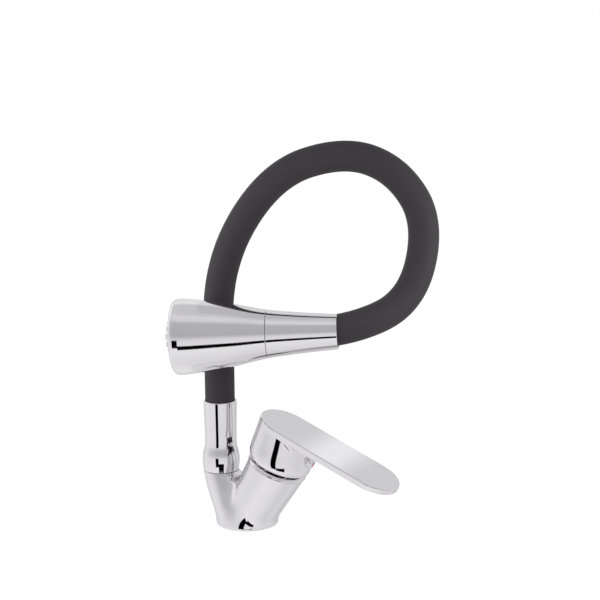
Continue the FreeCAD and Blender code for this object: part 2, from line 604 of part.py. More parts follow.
def neck_collar():
    """Slim turning collar with a bulbed foot, bored for the spigot and the arm."""
    foot = NECK_SEAT_Z + COLLAR_GAP
    lower_seat = LOWER_GLIDE_Z + GLIDE_H + SNUG
    upper_seat = UPPER_GLIDE_Z - SNUG
    outer = [(r, foot + h) for r, h in COLLAR_PROFILE]
    top_r = COLLAR_PROFILE[-1][0]
    inner = [(top_r, COLLAR_TOP_Z - COLLAR_EDGE), (top_r - COLLAR_EDGE * 0.3, COLLAR_TOP_Z - COLLAR_EDGE * 0.3),
             (top_r - COLLAR_EDGE, COLLAR_TOP_Z), (ARM_R + SLIP, COLLAR_TOP_Z), (ARM_R + SLIP, ARM_SEAT_Z),
             (GLIDE_R + SLIP, ARM_SEAT_Z), (GLIDE_R + SLIP, upper_seat), (COLLAR_BORE_R, upper_seat),
             (COLLAR_BORE_R, lower_seat), (GLIDE_R + SLIP, lower_seat), (GLIDE_R + SLIP, foot)]
    collar = turned_smooth(outer, inner, NECK)
    return collar.cut(cross_rod(COLLAR_SCREW_R + SNUG, 0, COLLAR_PROFILE[2][0] + PAST, COLLAR_SCREW_Z,
                                BACK_OF_NECK, "x"))


def collar_screw():
    """Grub screw whose tip runs in the spigot's groove and holds the collar down."""
    tip = GROOVE_FLOOR_R + COLLAR_SCREW_TIP
    end = tip + COLLAR_SCREW_LENGTH
    screw = cross_rod(COLLAR_SCREW_R, tip, end, COLLAR_SCREW_Z, BACK_OF_NECK, "x")
    return screw.cut(cross_rod(COLLAR_SOCKET_R, end - COLLAR_SOCKET_DEPTH, end + PAST, COLLAR_SCREW_Z,
                               BACK_OF_NECK, "x"))


def arm_base_ferrule():
    """Fitting in the collar that the arm's core and water tube are fixed in."""
    outer = GLIDE_R + SLIP - SNUG
    core = CORE_R + SNUG
    tube = TUBE_R + SNUG
    return turned(((FERRULE_BORE_R, FERRULE_FOOT_Z), (outer, FERRULE_FOOT_Z), (outer, ARM_SEAT_Z),
                   (core, ARM_SEAT_Z), (core, CORE_FOOT_Z), (tube, CORE_FOOT_Z), (tube, TUBE_FOOT_Z),
                   (FERRULE_BORE_R, TUBE_FOOT_Z)), NECK)


def arm_route():
    """Corner points of the arm, from the collar to the spray head."""
    rear = HEAD.multVec(Vector(0, 0, -HEAD_LEAD))
    grip = HEAD.multVec(Vector(0, 0, HEAD_GRIP))
    return [in_loop(0, 0, ARM_FOOT_Z)] + [in_loop(*p) for p in ARM_POINTS] + [rear, grip]


def arm_arcs(points):
    """For each corner: where its arc starts, its middle, where it ends and its radius."""
    arcs = []
    for before, corner, after in zip(points, points[1:], points[2:]):
        back = unit(before - corner)
        ahead = unit(after - corner)
        turn = math.pi - back.getAngle(ahead)
        length = ARC_SHARE * min((before - corner).Length, (after - corner).Length)
        radius = length / math.tan(turn / 2)
        inward = unit(back + ahead)
        middle = corner + inward * (radius / math.cos(turn / 2) - radius)
        arcs.append((corner + back * length, middle, corner + ahead * length, radius))
    return arcs


ROUTE = arm_route()
ARCS = arm_arcs(ROUTE)
HINGES = [in_loop(0, 0, FIRST_HINGE_Z)] + [(a + b) * 0.5 for a, b in zip(ROUTE[1:], ROUTE[2:-1])]
LINKS = len(HINGES) + 1


def link_path(link, start, end):
    """Centre line of one link, from its start to its end."""
    if link == 0:
        return [Part.makeLine(start, end)]
    first, middle, last, radius = ARCS[link - 1]
    return [Part.makeLine(start, first), Part.Arc(first, middle, last).toShape(), Part.makeLine(last, end)]


def sweep(edges, radius):
    """Solid rod that follows a path."""
    start = edges[0].valueAt(edges[0].FirstParameter)
    heading = edges[0].tangentAt(edges[0].FirstParameter)
    disc = Part.Face(Part.Wire(Part.makeCircle(radius, start, heading)))
    return upright(Part.Wire(edges).makePipe(disc))


def ball_end(centre, heading, outer, bore):
    """Round end of a link's tube, trimmed by the ball that all its tubes share."""
    rim = math.sqrt(ARM_R ** 2 - outer ** 2) if outer < ARM_R else 0.0
    tip = math.sqrt(ARM_R ** 2 - bore ** 2)
    half = (math.atan2(rim, outer) + math.atan2(tip, bore)) / 2
    arc = Part.Arc(Vector(outer, 0, rim), Vector(ARM_R * math.cos(half), 0, ARM_R * math.sin(half)),
                   Vector(bore, 0, tip)).toShape()
    corners = [Vector(bore, 0, tip), Vector(bore, 0, 0), Vector(outer, 0, 0)]
    if rim > 0:
        corners.append(Vector(outer, 0, rim))
    lines = [Part.makeLine(a, b) for a, b in zip(corners, corners[1:])]
    face = Part.Face(Part.Wire([arc] + lines))
    end = upright(face.revolve(Vector(0, 0, 0), Vector(0, 0, 1), 360))
    return moved(end, frame(centre, heading, Vector(0.3, 0.9, 0.1)))


def arm_link(link, outer, bore, foot_z, end_depth):
    """One tube of one arm link: cup at its start, ball at its end."""
    start = in_loop(0, 0, foot_z) if link == 0 else HINGES[link - 1]
    end = HEAD.multVec(Vector(0, 0, end_depth)) if link == LINKS - 1 else HINGES[link]
    path = link_path(link, start, end)
    tube = sweep(path, outer).cut(sweep(path, bore))
    if link > 0:
        tube = tube.cut(Part.makeSphere(ARM_R + BALL_GAP, start))
    if link < LINKS - 1:
        heading = path[-1].tangentAt(path[-1].LastParameter)
        tube = tube.fuse(ball_end(end, heading, outer, bore))
    return tube


CORE_DEPTH = SLEEVE_DEPTH + GRIP_STEP
TUBE_DEPTH = CORE_DEPTH + GRIP_STEP


def arm_links():
    """Sleeve, core and water tube of each link, by name."""
    pieces = {}
    for link in range(LINKS):
        number = str(link + 1)
        pieces["arm_sleeve_" + number] = arm_link(link, ARM_R, SLEEVE_BORE_R, ARM_FOOT_Z, SLEEVE_DEPTH)
        pieces["arm_core_" + number] = arm_link(link, CORE_R, CORE_BORE_R, CORE_FOOT_Z + SLIP, CORE_DEPTH)
        pieces["water_tube_" + number] = arm_link(link, TUBE_R, TUBE_BORE_R, TUBE_FOOT_Z + SLIP, TUBE_DEPTH)
    return pieces


def inner_points(profile, wall):
    """Same profile drawn in by a wall, last point first."""
    return [(r - wall, h) for r, h in reversed(profile)]


def dome_height(radius):
    """Height of the head's domed face at a radius, in the head's frame."""
    return HEAD_LENGTH + DOME_H * (1 - (radius / DOME_R) ** 2)


def dome_points(outer, inner, steps=6):
    """Points down a stretch of the domed face, from an outer radius to an inner one."""
    radii = [outer + (inner - outer) * step / steps for step in range(steps + 1)]
    return tuple((radius, dome_height(radius)) for radius in radii)


def flare(profile, low, high):
    """Skin points of a head shell between two heights."""
    return [(radius, low + (high - low) * share) for radius, share in profile]


REAR_PROFILE = flare(REAR_FLARE, 0.0, SEAM)
FRONT_FOOT = SEAM + SEAM_GAP
FRONT_PROFILE = flare(FRONT_FLARE, FRONT_FOOT, HEAD_LENGTH - MOUTH_BAND)
FACE_FOOT = HEAD_LENGTH - FACE_T + SNUG
DISC_FOOT = FACE_FOOT - CHAMBER_H
TURN_COLLAR_TOP = FRONT_FOOT + TURN_COLLAR
CLIP_FOOT = TURN_COLLAR_TOP + END_GAP
FERRULE_RIM = TUBE_DEPTH + END_GAP + GRIP_RIM


def head_shells():
    """Rear shell on the arm and front shell that turns on the waterway."""
    rear = turned_smooth(REAR_PROFILE, inner_points(REAR_PROFILE, HEAD_WALL)[:-2]
                         + [(HEAD_BORE_R, SLEEVE_DEPTH + SLEEVE_BORE_PAST), (HEAD_BORE_R, 0.0)], HEAD)
    inner_r = FRONT_PROFILE[0][0] - HEAD_WALL + RUN_OUT
    front = turned_smooth(FRONT_PROFILE, [(MOUTH_R, HEAD_LENGTH), (FACE_R + SLIP, HEAD_LENGTH),
                                          (FACE_R + SLIP, DISC_FOOT - RUN_OUT)]
                          + inner_points(FRONT_PROFILE, HEAD_WALL)[2:-1]
                          + [(inner_r, TURN_COLLAR_TOP), (WATERWAY_R + RUN_OUT, TURN_COLLAR_TOP),
                             (WATERWAY_R + RUN_OUT, FRONT_FOOT)], FreeCAD.Placement())
    lip = [e for e in front.Edges if e.BoundBox.ZMin > HEAD_LENGTH - SLIP and e.BoundBox.XMax > MOUTH_R - SLIP]
    front = moved(front.makeFillet(MOUTH_ROUND, lip[:1]), HEAD)
    return {"head_rear_shell": rear, "head_front_shell": front}


def spray_pieces():
    """Face with its nozzles, aerator and mode disc."""
    plate = turned(((AERATOR_R + SLIP, FACE_FOOT), (FACE_R, FACE_FOOT), (FACE_R, HEAD_LENGTH),
                    (DOME_R, HEAD_LENGTH)) + dome_points(DOME_R, AERATOR_R + SLIP)[1:], HEAD)
    jets = []
    for ring_r, count in zip(JET_RING_R, JET_COUNT):
        skin = dome_height(ring_r)
        for jet in range(count):
            turn = 2 * math.pi * jet / count
            jets.append(rod(JET_R, skin - JET_ROOT, skin + JET_H, HEAD,
                            ring_r * math.cos(turn), ring_r * math.sin(turn)))
    grid_top = dome_height(AERATOR_MOUTH_R) - AERATOR_DEPTH
    grid_foot = grid_top - AERATOR_GRID_T
    aerator = turned(((0, grid_foot), (AERATOR_GRID_R, grid_foot), (AERATOR_GRID_R, FACE_FOOT),
                      (AERATOR_R, FACE_FOOT)) + dome_points(AERATOR_R, AERATOR_MOUTH_R)
                     + ((AERATOR_MOUTH_R, grid_top), (0, grid_top)), HEAD)
    holes = [rod(GRID_HOLE_R, grid_foot - PAST, grid_top + PAST, HEAD, x * GRID_PITCH, y * GRID_PITCH)
             for x in range(-2, 3) for y in range(-2, 3) if math.hypot(x, y) < GRID_REACH]
    rim = FACE_R - MODE_DISC_RIM
    mode_disc = turned(((WATERWAY_BORE_R, DISC_FOOT), (FACE_R, DISC_FOOT), (FACE_R, FACE_FOOT - SNUG),
                        (rim, FACE_FOOT - SNUG), (rim, DISC_FOOT + MODE_DISC_T),
                        (WATERWAY_BORE_R, DISC_FOOT + MODE_DISC_T)), HEAD)
    return {"spray_plate": plate.fuse(jets), "aerator": aerator.cut(holes), "mode_disc": mode_disc}


def waterway_pieces():
    """Waterway with its washer, ring, check valve and clip."""
    flange_r = REAR_PROFILE[-1][0] - HEAD_WALL - FLANGE_GAP
    clip_floor = WATERWAY_R - CLIP_DEPTH
    clip_low = CLIP_FOOT - SNUG
    clip_high = CLIP_FOOT + CLIP_T + SNUG
    ring_floor = WATERWAY_R - HEAD_RING_DEPTH
    ring_high = DISC_FOOT - HEAD_RING_LAND
    ring_low = ring_high - HEAD_RING_GROOVE
    waterway = turned(((WATERWAY_BORE_R, WATERWAY_FOOT), (WATERWAY_R, WATERWAY_FOOT),
                       (WATERWAY_R, SEAM - WATERWAY_FLANGE), (flange_r, SEAM - WATERWAY_FLANGE),
                       (flange_r, SEAM), (WATERWAY_R, SEAM), (WATERWAY_R, clip_low), (clip_floor, clip_low),
                       (clip_floor, clip_high), (WATERWAY_R, clip_high), (WATERWAY_R, ring_low),
                       (ring_floor, ring_low),
                       (ring_floor, ring_high), (WATERWAY_R, ring_high), (WATERWAY_R, DISC_FOOT - SLIP),
                       (WATERWAY_BORE_R, DISC_FOOT - SLIP)), HEAD)
    washer_top = WATERWAY_FOOT - SNUG
    washer_foot = washer_top - WASHER_T
    washer = turned(((TUBE_BORE_R, washer_foot), (WATERWAY_R, washer_foot), (WATERWAY_R, washer_top),
                     (TUBE_BORE_R, washer_top)), HEAD)
    ring_middle = ring_floor + SLIP + SNUG + HEAD_RING_T / 2
    ring_height = Vector(0, 0, (ring_low + ring_high) / 2)
    o_ring = moved(Part.makeTorus(ring_middle, HEAD_RING_T / 2, ring_height), HEAD)
    seat = WATERWAY_FOOT + VALVE_SEAT
    valve_wall = WATERWAY_BORE_R - SNUG
    valve = turned(((VALVE_BORE_R, seat), (valve_wall, seat), (valve_wall, seat + VALVE_H),
                    (VALVE_R, seat + VALVE_H), (VALVE_R, seat + VALVE_FLOOR),
                    (VALVE_BORE_R, seat + VALVE_FLOOR)), HEAD)
    clip = turned(((clip_floor + SNUG, CLIP_FOOT), (WATERWAY_R + CLIP_REACH, CLIP_FOOT),
                   (WATERWAY_R + CLIP_REACH, CLIP_FOOT + CLIP_T), (clip_floor + SNUG, CLIP_FOOT + CLIP_T)), HEAD)
    return {"head_waterway": waterway, "head_washer": washer, "head_o_ring": o_ring, "check_valve": valve,
            "head_clip": clip}


def arm_end_pieces():
    """Ferrule that the arm ends in and the nut that joins it to the waterway."""
    wall = WATERWAY_R + END_FERRULE_WALL
    foot = SLEEVE_DEPTH + END_GAP
    ferrule = turned(((CORE_R + SNUG, foot), (ARM_R, foot), (ARM_R, FERRULE_RIM), (wall, FERRULE_RIM),
                      (wall, END_FERRULE_TOP), (TUBE_BORE_R, END_FERRULE_TOP), (TUBE_BORE_R, TUBE_DEPTH + END_GAP),
                      (TUBE_R + SNUG, TUBE_DEPTH + END_GAP), (TUBE_R + SNUG, CORE_DEPTH + END_GAP),
                      (CORE_R + SNUG, CORE_DEPTH + END_GAP)), HEAD)
    nut_foot = FERRULE_RIM + END_GAP
    nut_top = END_FERRULE_TOP + NUT_ENGAGE
    step = END_FERRULE_TOP + END_GAP
    nut = turned(((wall + SNUG, nut_foot), (NUT_R, nut_foot), (NUT_R, nut_top), (WATERWAY_R + SNUG, nut_top),
                  (WATERWAY_R + SNUG, step), (wall + SNUG, step)), HEAD)
    return {"arm_end_ferrule": ferrule, "coupling_nut": nut}


PIECES = {"body_casting": body_casting(), "base_seal": base_seal()}
PIECES.update(cartridge_pieces())
PIECES["cover_ring"] = cover_ring()
PIECES["lever_handle"] = lever_handle()
PIECES.update(lever_fittings())
PIECES.update({"spout_spigot": spout_spigot(), "spigot_o_rings": spigot_o_rings(), "glide_rings": glide_rings(),
               "neck_collar": neck_collar(), "collar_screw": collar_screw(), "arm_base_ferrule": arm_base_ferrule()})
PIECES.update(arm_links())
PIECES.update(head_shells())
PIECES.update(spray_pieces())
PIECES.update(waterway_pieces())
PIECES.update(arm_end_pieces())
for name, shape in PIECES.items():
    save(name, shape)
print(len(PIECES), "nodes")
print("arm arc radii", ["%.1f" % arc[3] for arc in ARCS])
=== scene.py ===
"""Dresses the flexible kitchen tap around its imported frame.

Z is up and lengths are metres. Sizes that are read most easily in millimetres are written times MM.
"""
import json
import math

import bmesh
import bpy
import numpy as np
from mathutils import Matrix, Vector


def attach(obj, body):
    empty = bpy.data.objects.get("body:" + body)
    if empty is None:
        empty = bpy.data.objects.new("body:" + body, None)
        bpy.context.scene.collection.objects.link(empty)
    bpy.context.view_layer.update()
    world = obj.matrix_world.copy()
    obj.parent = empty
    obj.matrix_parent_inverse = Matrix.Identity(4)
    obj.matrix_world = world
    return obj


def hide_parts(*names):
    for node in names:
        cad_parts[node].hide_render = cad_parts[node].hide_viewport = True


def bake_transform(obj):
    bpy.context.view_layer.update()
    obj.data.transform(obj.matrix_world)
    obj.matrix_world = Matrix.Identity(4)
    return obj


bl_info = {
    "name": "Flexible kitchen tap",
    "version": (1, 0, 0),
    "blender": (4, 5, 0),
    "location": "View3D > Sidebar > Tap",
    "description": "Models the covers, hose, spray head and finishes of a flexible kitchen tap",
    "category": "Object",
}

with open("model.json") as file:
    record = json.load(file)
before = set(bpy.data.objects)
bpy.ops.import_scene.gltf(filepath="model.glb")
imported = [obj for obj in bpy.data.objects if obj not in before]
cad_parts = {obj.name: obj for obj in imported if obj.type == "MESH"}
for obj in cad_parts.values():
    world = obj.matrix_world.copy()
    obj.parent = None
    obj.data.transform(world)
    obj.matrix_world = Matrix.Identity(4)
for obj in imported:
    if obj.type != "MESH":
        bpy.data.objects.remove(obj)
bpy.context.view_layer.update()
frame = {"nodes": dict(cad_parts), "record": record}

MM = 0.001
ROUND_STEPS = 192        # sides of a turned piece
CURVE_STEPS = 40         # points along a smooth stretch of an outline
MERGE = 0.002 * MM       # points of a turned piece that lie nearer than this become one

# Frames shared with the construction
NECK_X = -24.6 * MM
CART_FOOT = Vector((7.0 * MM, 0, 0))
CART_LEAN = math.radians(23.1)
LOOP_TURN = math.radians(27.0)
HEAD_YAW = math.radians(5.5)
HEAD_DIP = math.radians(2.4)
CART_AXIS = Vector((math.sin(CART_LEAN), 0, math.cos(CART_LEAN)))
CART_FORWARD = Vector((math.cos(CART_LEAN), 0, -math.sin(CART_LEAN)))
LOOP_REACH = Vector((math.cos(LOOP_TURN), math.sin(LOOP_TURN), 0))
LOOP_FRONT = Vector((math.sin(LOOP_TURN), -math.cos(LOOP_TURN), 0))


def placement(origin, z_axis, x_axis):
    """Matrix of a frame with Z along z_axis and X as near x_axis as it goes."""
    z = z_axis.normalized()
    x = (x_axis - z * z.dot(x_axis)).normalized()
    y = z.cross(x)
    place = Matrix((x, y, z)).transposed().to_4x4()
    place.translation = origin
    return place


def in_loop(reach, front, height):
    """Point in the loop's own plane about the neck, from millimetres."""
    return Vector((NECK_X, 0, 0)) + (LOOP_REACH * reach + LOOP_FRONT * front + Vector((0, 0, height))) * MM


HEAD_AXIS = (LOOP_REACH * (-math.cos(HEAD_YAW) * math.cos(HEAD_DIP))
             - LOOP_FRONT * (math.sin(HEAD_YAW) * math.cos(HEAD_DIP)) - Vector((0, 0, math.sin(HEAD_DIP))))
HEAD_REAR = in_loop(97.5, 59.0, 171.8)
CART = placement(CART_FOOT, CART_AXIS, CART_FORWARD)
NECK = placement(Vector((NECK_X, 0, 0)), Vector((0, 0, 1)), Vector((1, 0, 0)))
HEAD = placement(HEAD_REAR, HEAD_AXIS, Vector((0, 0, 1)))


def length(name, description, millimetres):
    """Property that holds a length."""
    return bpy.props.FloatProperty(name=name, description=description, default=millimetres * MM,
                                   min=0.0, precision=5, unit="LENGTH", subtype="DISTANCE")


def colour(name, description, red, green, blue):
    """Property that holds a linear colour."""
    return bpy.props.FloatVectorProperty(name=name, description=description, default=(red, green, blue),
                                         min=0.0, max=1.0, size=3, subtype="COLOR")


def share(name, description, value):
    """Property that holds a share from 0 to 1."""
    return bpy.props.FloatProperty(name=name, description=description, default=value,
                                   min=0.0, max=1.0, subtype="FACTOR")


def strength(name, description, value):
    """Property that holds a light's strength."""
    return bpy.props.FloatProperty(name=name, description=description, default=value, min=0.0)


class TapSizes(bpy.types.PropertyGroup):
    """Sizes of the tap's modelled covers."""
    foot_edge: length("Foot edge", "Rounding of the base where it meets the deck", 4.0)
    foot_blend: length("Blend at the foot", "Width of the flow between the two lobes at the foot", 18.0)
    valley_blend: length("Blend at the valley", "Width of the flow between the two lobes at their top", 11.0)
    skin_grain: length("Skin grain", "Size of the faces that the two-lobed body is remeshed to", 0.9)
    hose_radius: length("Hose radius", "Outer radius of the silicone sleeve", 12.5)
    hose_step: length("Hose step", "Distance between two rings of the hose", 2.0)
    fillet: length("Blade fillet", "Hollow rounding between the lever's cap and blade", 6.5)
    blade_edge: length("Blade edge", "Rounding of the lever's edges", 0.9)


class TapFinishes(bpy.types.PropertyGroup):
    """Colours and gloss of the tap's materials."""
    chrome: colour("Chrome", "Tint of the plated metal", 0.825, 0.812, 0.838)
    chrome_roughness: share("Chrome roughness", "How blurred the plated metal's reflections are", 0.045)
    head_roughness: share("Head roughness", "How blurred the spray head's reflections are", 0.07)
    silicone: colour("Silicone", "Colour of the hose's sleeve", 0.0170, 0.0155, 0.0175)
    face_grey: colour("Spray face", "Colour of the spray face", 0.20, 0.20, 0.21)
    nozzle: colour("Nozzles", "Colour of the soft nozzles", 0.42, 0.42, 0.43)


def settings():
    """The scene's own settings of the tap."""
    return bpy.context.scene.tap_sizes, bpy.context.scene.tap_finishes


def leave_edit_mode():
    """Object mode with nothing selected."""
    if bpy.context.object and bpy.context.object.mode != "OBJECT":
        bpy.ops.object.mode_set(mode="OBJECT")
    bpy.ops.object.select_all(action="DESELECT")


def pick(*pieces):
    """Selects these objects and makes the first one active."""
    leave_edit_mode()
    for piece in pieces:
        piece.select_set(True)
    bpy.context.view_layer.objects.active = pieces[0]


def edit_whole(piece):
    """Edit mode with the whole mesh selected."""
    pick(piece)
    bpy.ops.object.mode_set(mode="EDIT")
    bpy.ops.mesh.select_all(action="SELECT")


def named(piece, name):
    """Gives an object and its mesh one name."""
    piece.name = name
    piece.data.name = name
    return piece


def apply_modifier(piece, kind, **values):
    """Adds a modifier with these values and applies it."""
    modifier = piece.modifiers.new(kind.title(), kind)
    for key, value in values.items():
        setattr(modifier, key, value)
    pick(piece)
    bpy.ops.object.modifier_apply(modifier=modifier.name)


def put_in_place(piece, place):
    """Bakes a frame into a piece's mesh."""
    pick(piece)
    piece.matrix_world = place
    bpy.ops.object.transform_apply(location=True, rotation=True, scale=True)
    return piece


def smooth(piece, sharp_angle=40.0):
    """Smooth shading that keeps flat faces flat and hard edges hard."""
    pick(piece)
    bpy.ops.object.shade_smooth_by_angle(angle=math.radians(sharp_angle))
    apply_modifier(piece, "WEIGHTED_NORMAL", keep_sharp=True)
    return piece


def spline(points, steps=CURVE_STEPS):
    """Smooth curve through points, as steps + 1 points, with free ends."""
    points = np.array(points, float)
    knots = np.concatenate(([0.0], np.cumsum(np.linalg.norm(np.diff(points, axis=0), axis=1))))
    gaps = np.diff(knots)
    count = len(points)
    system = np.eye(count)
    right = np.zeros(points.shape)
    for i in range(1, count - 1):
        system[i, i - 1:i + 2] = gaps[i - 1], 2 * (gaps[i - 1] + gaps[i]), gaps[i]
        right[i] = 6 * ((points[i + 1] - points[i]) / gaps[i]
                        - (points[i] - points[i - 1]) / gaps[i - 1])
    bends = np.linalg.solve(system, right)
    curve = []
    for place in np.linspace(0, knots[-1], steps + 1):
        i = min(int(np.searchsorted(knots, place, side="right")) - 1, count - 2)
        a = knots[i + 1] - place
        b = place - knots[i]
        gap = gaps[i]
        curve.append((bends[i] * a ** 3 + bends[i + 1] * b ** 3) / (6 * gap)
                     + (points[i] / gap - bends[i] * gap / 6) * a
                     + (points[i + 1] / gap - bends[i + 1] * gap / 6) * b)
    return [tuple(point) for point in curve]


def rounded(corners, steps=5):
    """Outline with each (radius, height, rounding) corner turned into an arc."""
    outline = []
    count = len(corners)
    for i, (r, h, rounding) in enumerate(corners):
        here = np.array((r, h))
        if rounding <= 0:
            outline.append((r, h))
            continue
        back = np.array(corners[i - 1][:2]) - here
        ahead = np.array(corners[(i + 1) % count][:2]) - here
        back /= np.linalg.norm(back)
        ahead /= np.linalg.norm(ahead)
        half = math.acos(max(-1.0, min(1.0, float(back @ ahead)))) / 2
        reach = rounding / math.tan(half)
        start = here + back * reach
        end = here + ahead * reach
        middle = here + (back + ahead) / np.linalg.norm(back + ahead) * (rounding / math.sin(half))
        first = start - middle
        last = end - middle
        sweep = math.acos(max(-1.0, min(1.0, float(first @ last) / rounding ** 2)))
        for step in range(steps + 1):
            t = step / steps
            ray = first * math.sin((1 - t) * sweep) + last * math.sin(t * sweep)
            outline.append(tuple(middle + ray / math.sin(sweep)))
    return outline


def lathe(name, outline, place, closed=True, steps=ROUND_STEPS):
    """Piece turned about Z of a frame from an outline of (radius, height) in millimetres."""
    leave_edit_mode()
    bpy.ops.mesh.primitive_plane_add(size=MM)
    piece = named(bpy.context.object, name)
    bpy.ops.object.mode_set(mode="EDIT")
    bpy.ops.mesh.select_mode(type="VERT")
    bpy.ops.mesh.merge(type="CENTER")
    last = (0.0, 0.0)
    chain = list(outline) + (list(outline[:1]) if closed else [])
    for index, (r, h) in enumerate(chain):
        step = ((r - last[0]) * MM, 0, (h - last[1]) * MM)
        if index == 0:
            bpy.ops.transform.translate(value=step)
        else:
            bpy.ops.mesh.extrude_region_move(TRANSFORM_OT_translate={"value": step})
        last = (r, h)
    bpy.ops.mesh.select_all(action="SELECT")
    bpy.ops.mesh.spin(steps=steps, angle=2 * math.pi, center=(0, 0, 0), axis=(0, 0, 1))
    bpy.ops.mesh.select_all(action="SELECT")
    bpy.ops.mesh.remove_doubles(threshold=MERGE)
    bpy.ops.mesh.normals_make_consistent(inside=False)
    leave_edit_mode()
    return smooth(put_in_place(piece, place))


def edit_skin(piece):
    """A piece's mesh in edit mode, with its points by number."""
    skin = bmesh.from_edit_mesh(piece.data)
    skin.verts.ensure_lookup_table()
    return skin


def loft(name, rings):
    """Skin over rings of points in metres, each extruded from the one before, with filled ends."""
    leave_edit_mode()
    bpy.ops.mesh.primitive_circle_add(vertices=len(rings[0]), radius=MM, fill_type="NOTHING")
    piece = named(bpy.context.object, name)
    bpy.ops.object.mode_set(mode="EDIT")
    bpy.ops.mesh.select_mode(type="VERT")
    skin = edit_skin(piece)
    current = list(range(len(rings[0])))
    for index, point in zip(current, rings[0]):
        skin.verts[index].co = point
    bpy.ops.mesh.edge_face_add()
    for ring in rings[1:]:
        bpy.ops.mesh.select_all(action="DESELECT")
        skin = edit_skin(piece)
        on_ring = set(current)
        for edge in skin.edges:
            edge.select_set(edge.verts[0].index in on_ring and edge.verts[1].index in on_ring)
        bmesh.update_edit_mesh(piece.data)
        bpy.ops.mesh.extrude_edges_move()
        skin = edit_skin(piece)
        fresh = []
        for index in current:
            vert = skin.verts[index]
            fresh.append(next(e.other_vert(vert).index for e in vert.link_edges if e.other_vert(vert).select))
        for index, point in zip(fresh, ring):
            skin.verts[index].co = point
        bmesh.update_edit_mesh(piece.data)
        current = fresh
    bpy.ops.mesh.edge_face_add()
    bpy.ops.mesh.select_all(action="SELECT")
    bpy.ops.mesh.normals_make_consistent(inside=False)
    leave_edit_mode()
    return piece


def finish_piece(piece, body, slot, *nodes):
    """Gives a piece its finish, its body and the construction pieces that it stands for."""
    piece.data.materials.append(finish_named(slot))
    if body:
        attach(piece, body)
    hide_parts(*nodes)


# Materials

NOISE_SPAN = (0.3, 0.7)  # the part of a noise's range that colour and gloss follow
RELIEF = 0.05 * MM


class Graph:
    """An owner's node tree, started empty, whose inputs take numbers or other nodes' outputs."""

    def __init__(self, owner):
        owner.use_nodes = True
        self.nodes = owner.node_tree.nodes
        self.links = owner.node_tree.links
        self.nodes.clear()

    def node(self, kind, inputs=None, **values):
        """New node of a kind, with its values and inputs filled in."""
        node = self.nodes.new("ShaderNode" + kind)
        for key, value in values.items():
            setattr(node, key, value)
        for key, value in (inputs or {}).items():
            if isinstance(value, bpy.types.NodeSocket):
                self.links.new(value, node.inputs[key])
            else:
                node.inputs[key].default_value = value
        return node

    def math(self, operation, *values):
        """Result of a math node."""
        return self.node("Math", dict(enumerate(values)), operation=operation).outputs[0]

    def times(self, *values):
        """Product of two values."""
        return self.math("MULTIPLY", *values)

    def noise(self, scale, detail, roughness=0.55):
        """Noise over Object coordinates, in cells per metre."""
        place = self.node("TexCoord").outputs["Object"]
        return self.node("TexNoise", {"Vector": place, "Scale": scale, "Detail": detail,
                                      "Roughness": roughness}).outputs["Fac"]

    def ramp(self, source, stops):
        """Colour ramp with these (place, colour) stops."""
        ramp = self.node("ValToRGB", {"Fac": source})
        elements = ramp.color_ramp.elements
        while len(elements) < len(stops):
            elements.new(0.5)
        for element, (place, tint) in zip(elements, stops):
            element.position = place
            element.color = (*tint, 1)
        return ramp.outputs["Color"]

    def step(self, value, start, end):
        """Smooth rise from 0 at start to 1 at end."""
        return self.node("MapRange", {"Value": value, "From Min": start, "From Max": end},
                         interpolation_type="SMOOTHSTEP").outputs["Result"]

    def window(self, value, edges):
        """Soft window: rises to 1 between the first two edges and falls between the last two."""
        return self.times(self.step(value, edges[0], edges[1]), self.step(value, edges[3], edges[2]))

    def mix(self, factor, low, high):
        """Value between two others."""
        return self.node("Mix", {"Factor": factor, "A": low, "B": high}, data_type="FLOAT").outputs["Result"]

    def along(self, vector, way):
        """Length of a vector along a fixed way."""
        return self.node("VectorMath", {0: vector, 1: way}, operation="DOT_PRODUCT").outputs["Value"]


def make_finish(name, tint, shares, gloss, marks, metallic=0.0, specular=0.5, relief=None):
    """Material whose colour and gloss drift with one noise, with fine relief from another.

    shares are the darkest and lightest share of the tint, gloss the lowest and highest roughness, marks
    the noise's settings, and relief its strength, its depth and its noise's settings.
    """
    material = bpy.data.materials.new(name)
    graph = Graph(material)
    drift = graph.noise(*marks)
    stops = [(place, [min(1.0, c * part) for c in tint]) for place, part in zip(NOISE_SPAN, shares)]
    rough = graph.node("MapRange", {"Value": drift, "From Min": NOISE_SPAN[0], "From Max": NOISE_SPAN[1],
                                    "To Min": gloss[0], "To Max": gloss[1]})
    inputs = {"Base Color": graph.ramp(drift, stops), "Roughness": rough.outputs["Result"],
              "Metallic": metallic, "Specular IOR Level": specular}
    if relief:
        amount, depth, *grain = relief
        bump = graph.node("Bump", {"Strength": amount, "Distance": depth, "Height": graph.noise(*grain)})
        inputs["Normal"] = bump.outputs["Normal"]
    shader = graph.node("BsdfPrincipled", inputs)
    graph.node("OutputMaterial", {"Surface": shader.outputs["BSDF"]})
    return material


def plated(name, tint, roughness, wear_scale=45.0):
    """Bright plated metal, wiped clean: its gloss drifts a little over the surface."""
    return make_finish(name, tint, (0.985, 1.0), (roughness * 0.8, roughness * 1.25), (wear_scale, 4.0),
                       metallic=1.0)


def machined(name, tint, roughness):
    """Turned brass or steel with fine tool marks."""
    marks = (900.0, 2.0)
    return make_finish(name, tint, (0.93, 1.0), (roughness * 0.85, roughness * 1.2), marks, metallic=1.0,
                       relief=(0.12, RELIEF, *marks))


def moulded(name, tint, roughness, grain_scale=2200.0, grain=0.1, specular=0.4):
    """Moulded plastic or rubber with a fine even grain."""
    marks = (grain_scale, 3.0)
    return make_finish(name, tint, (0.92, 1.05), (roughness * 0.92, roughness * 1.08), marks,
                       specular=specular, relief=(grain, RELIEF, *marks))


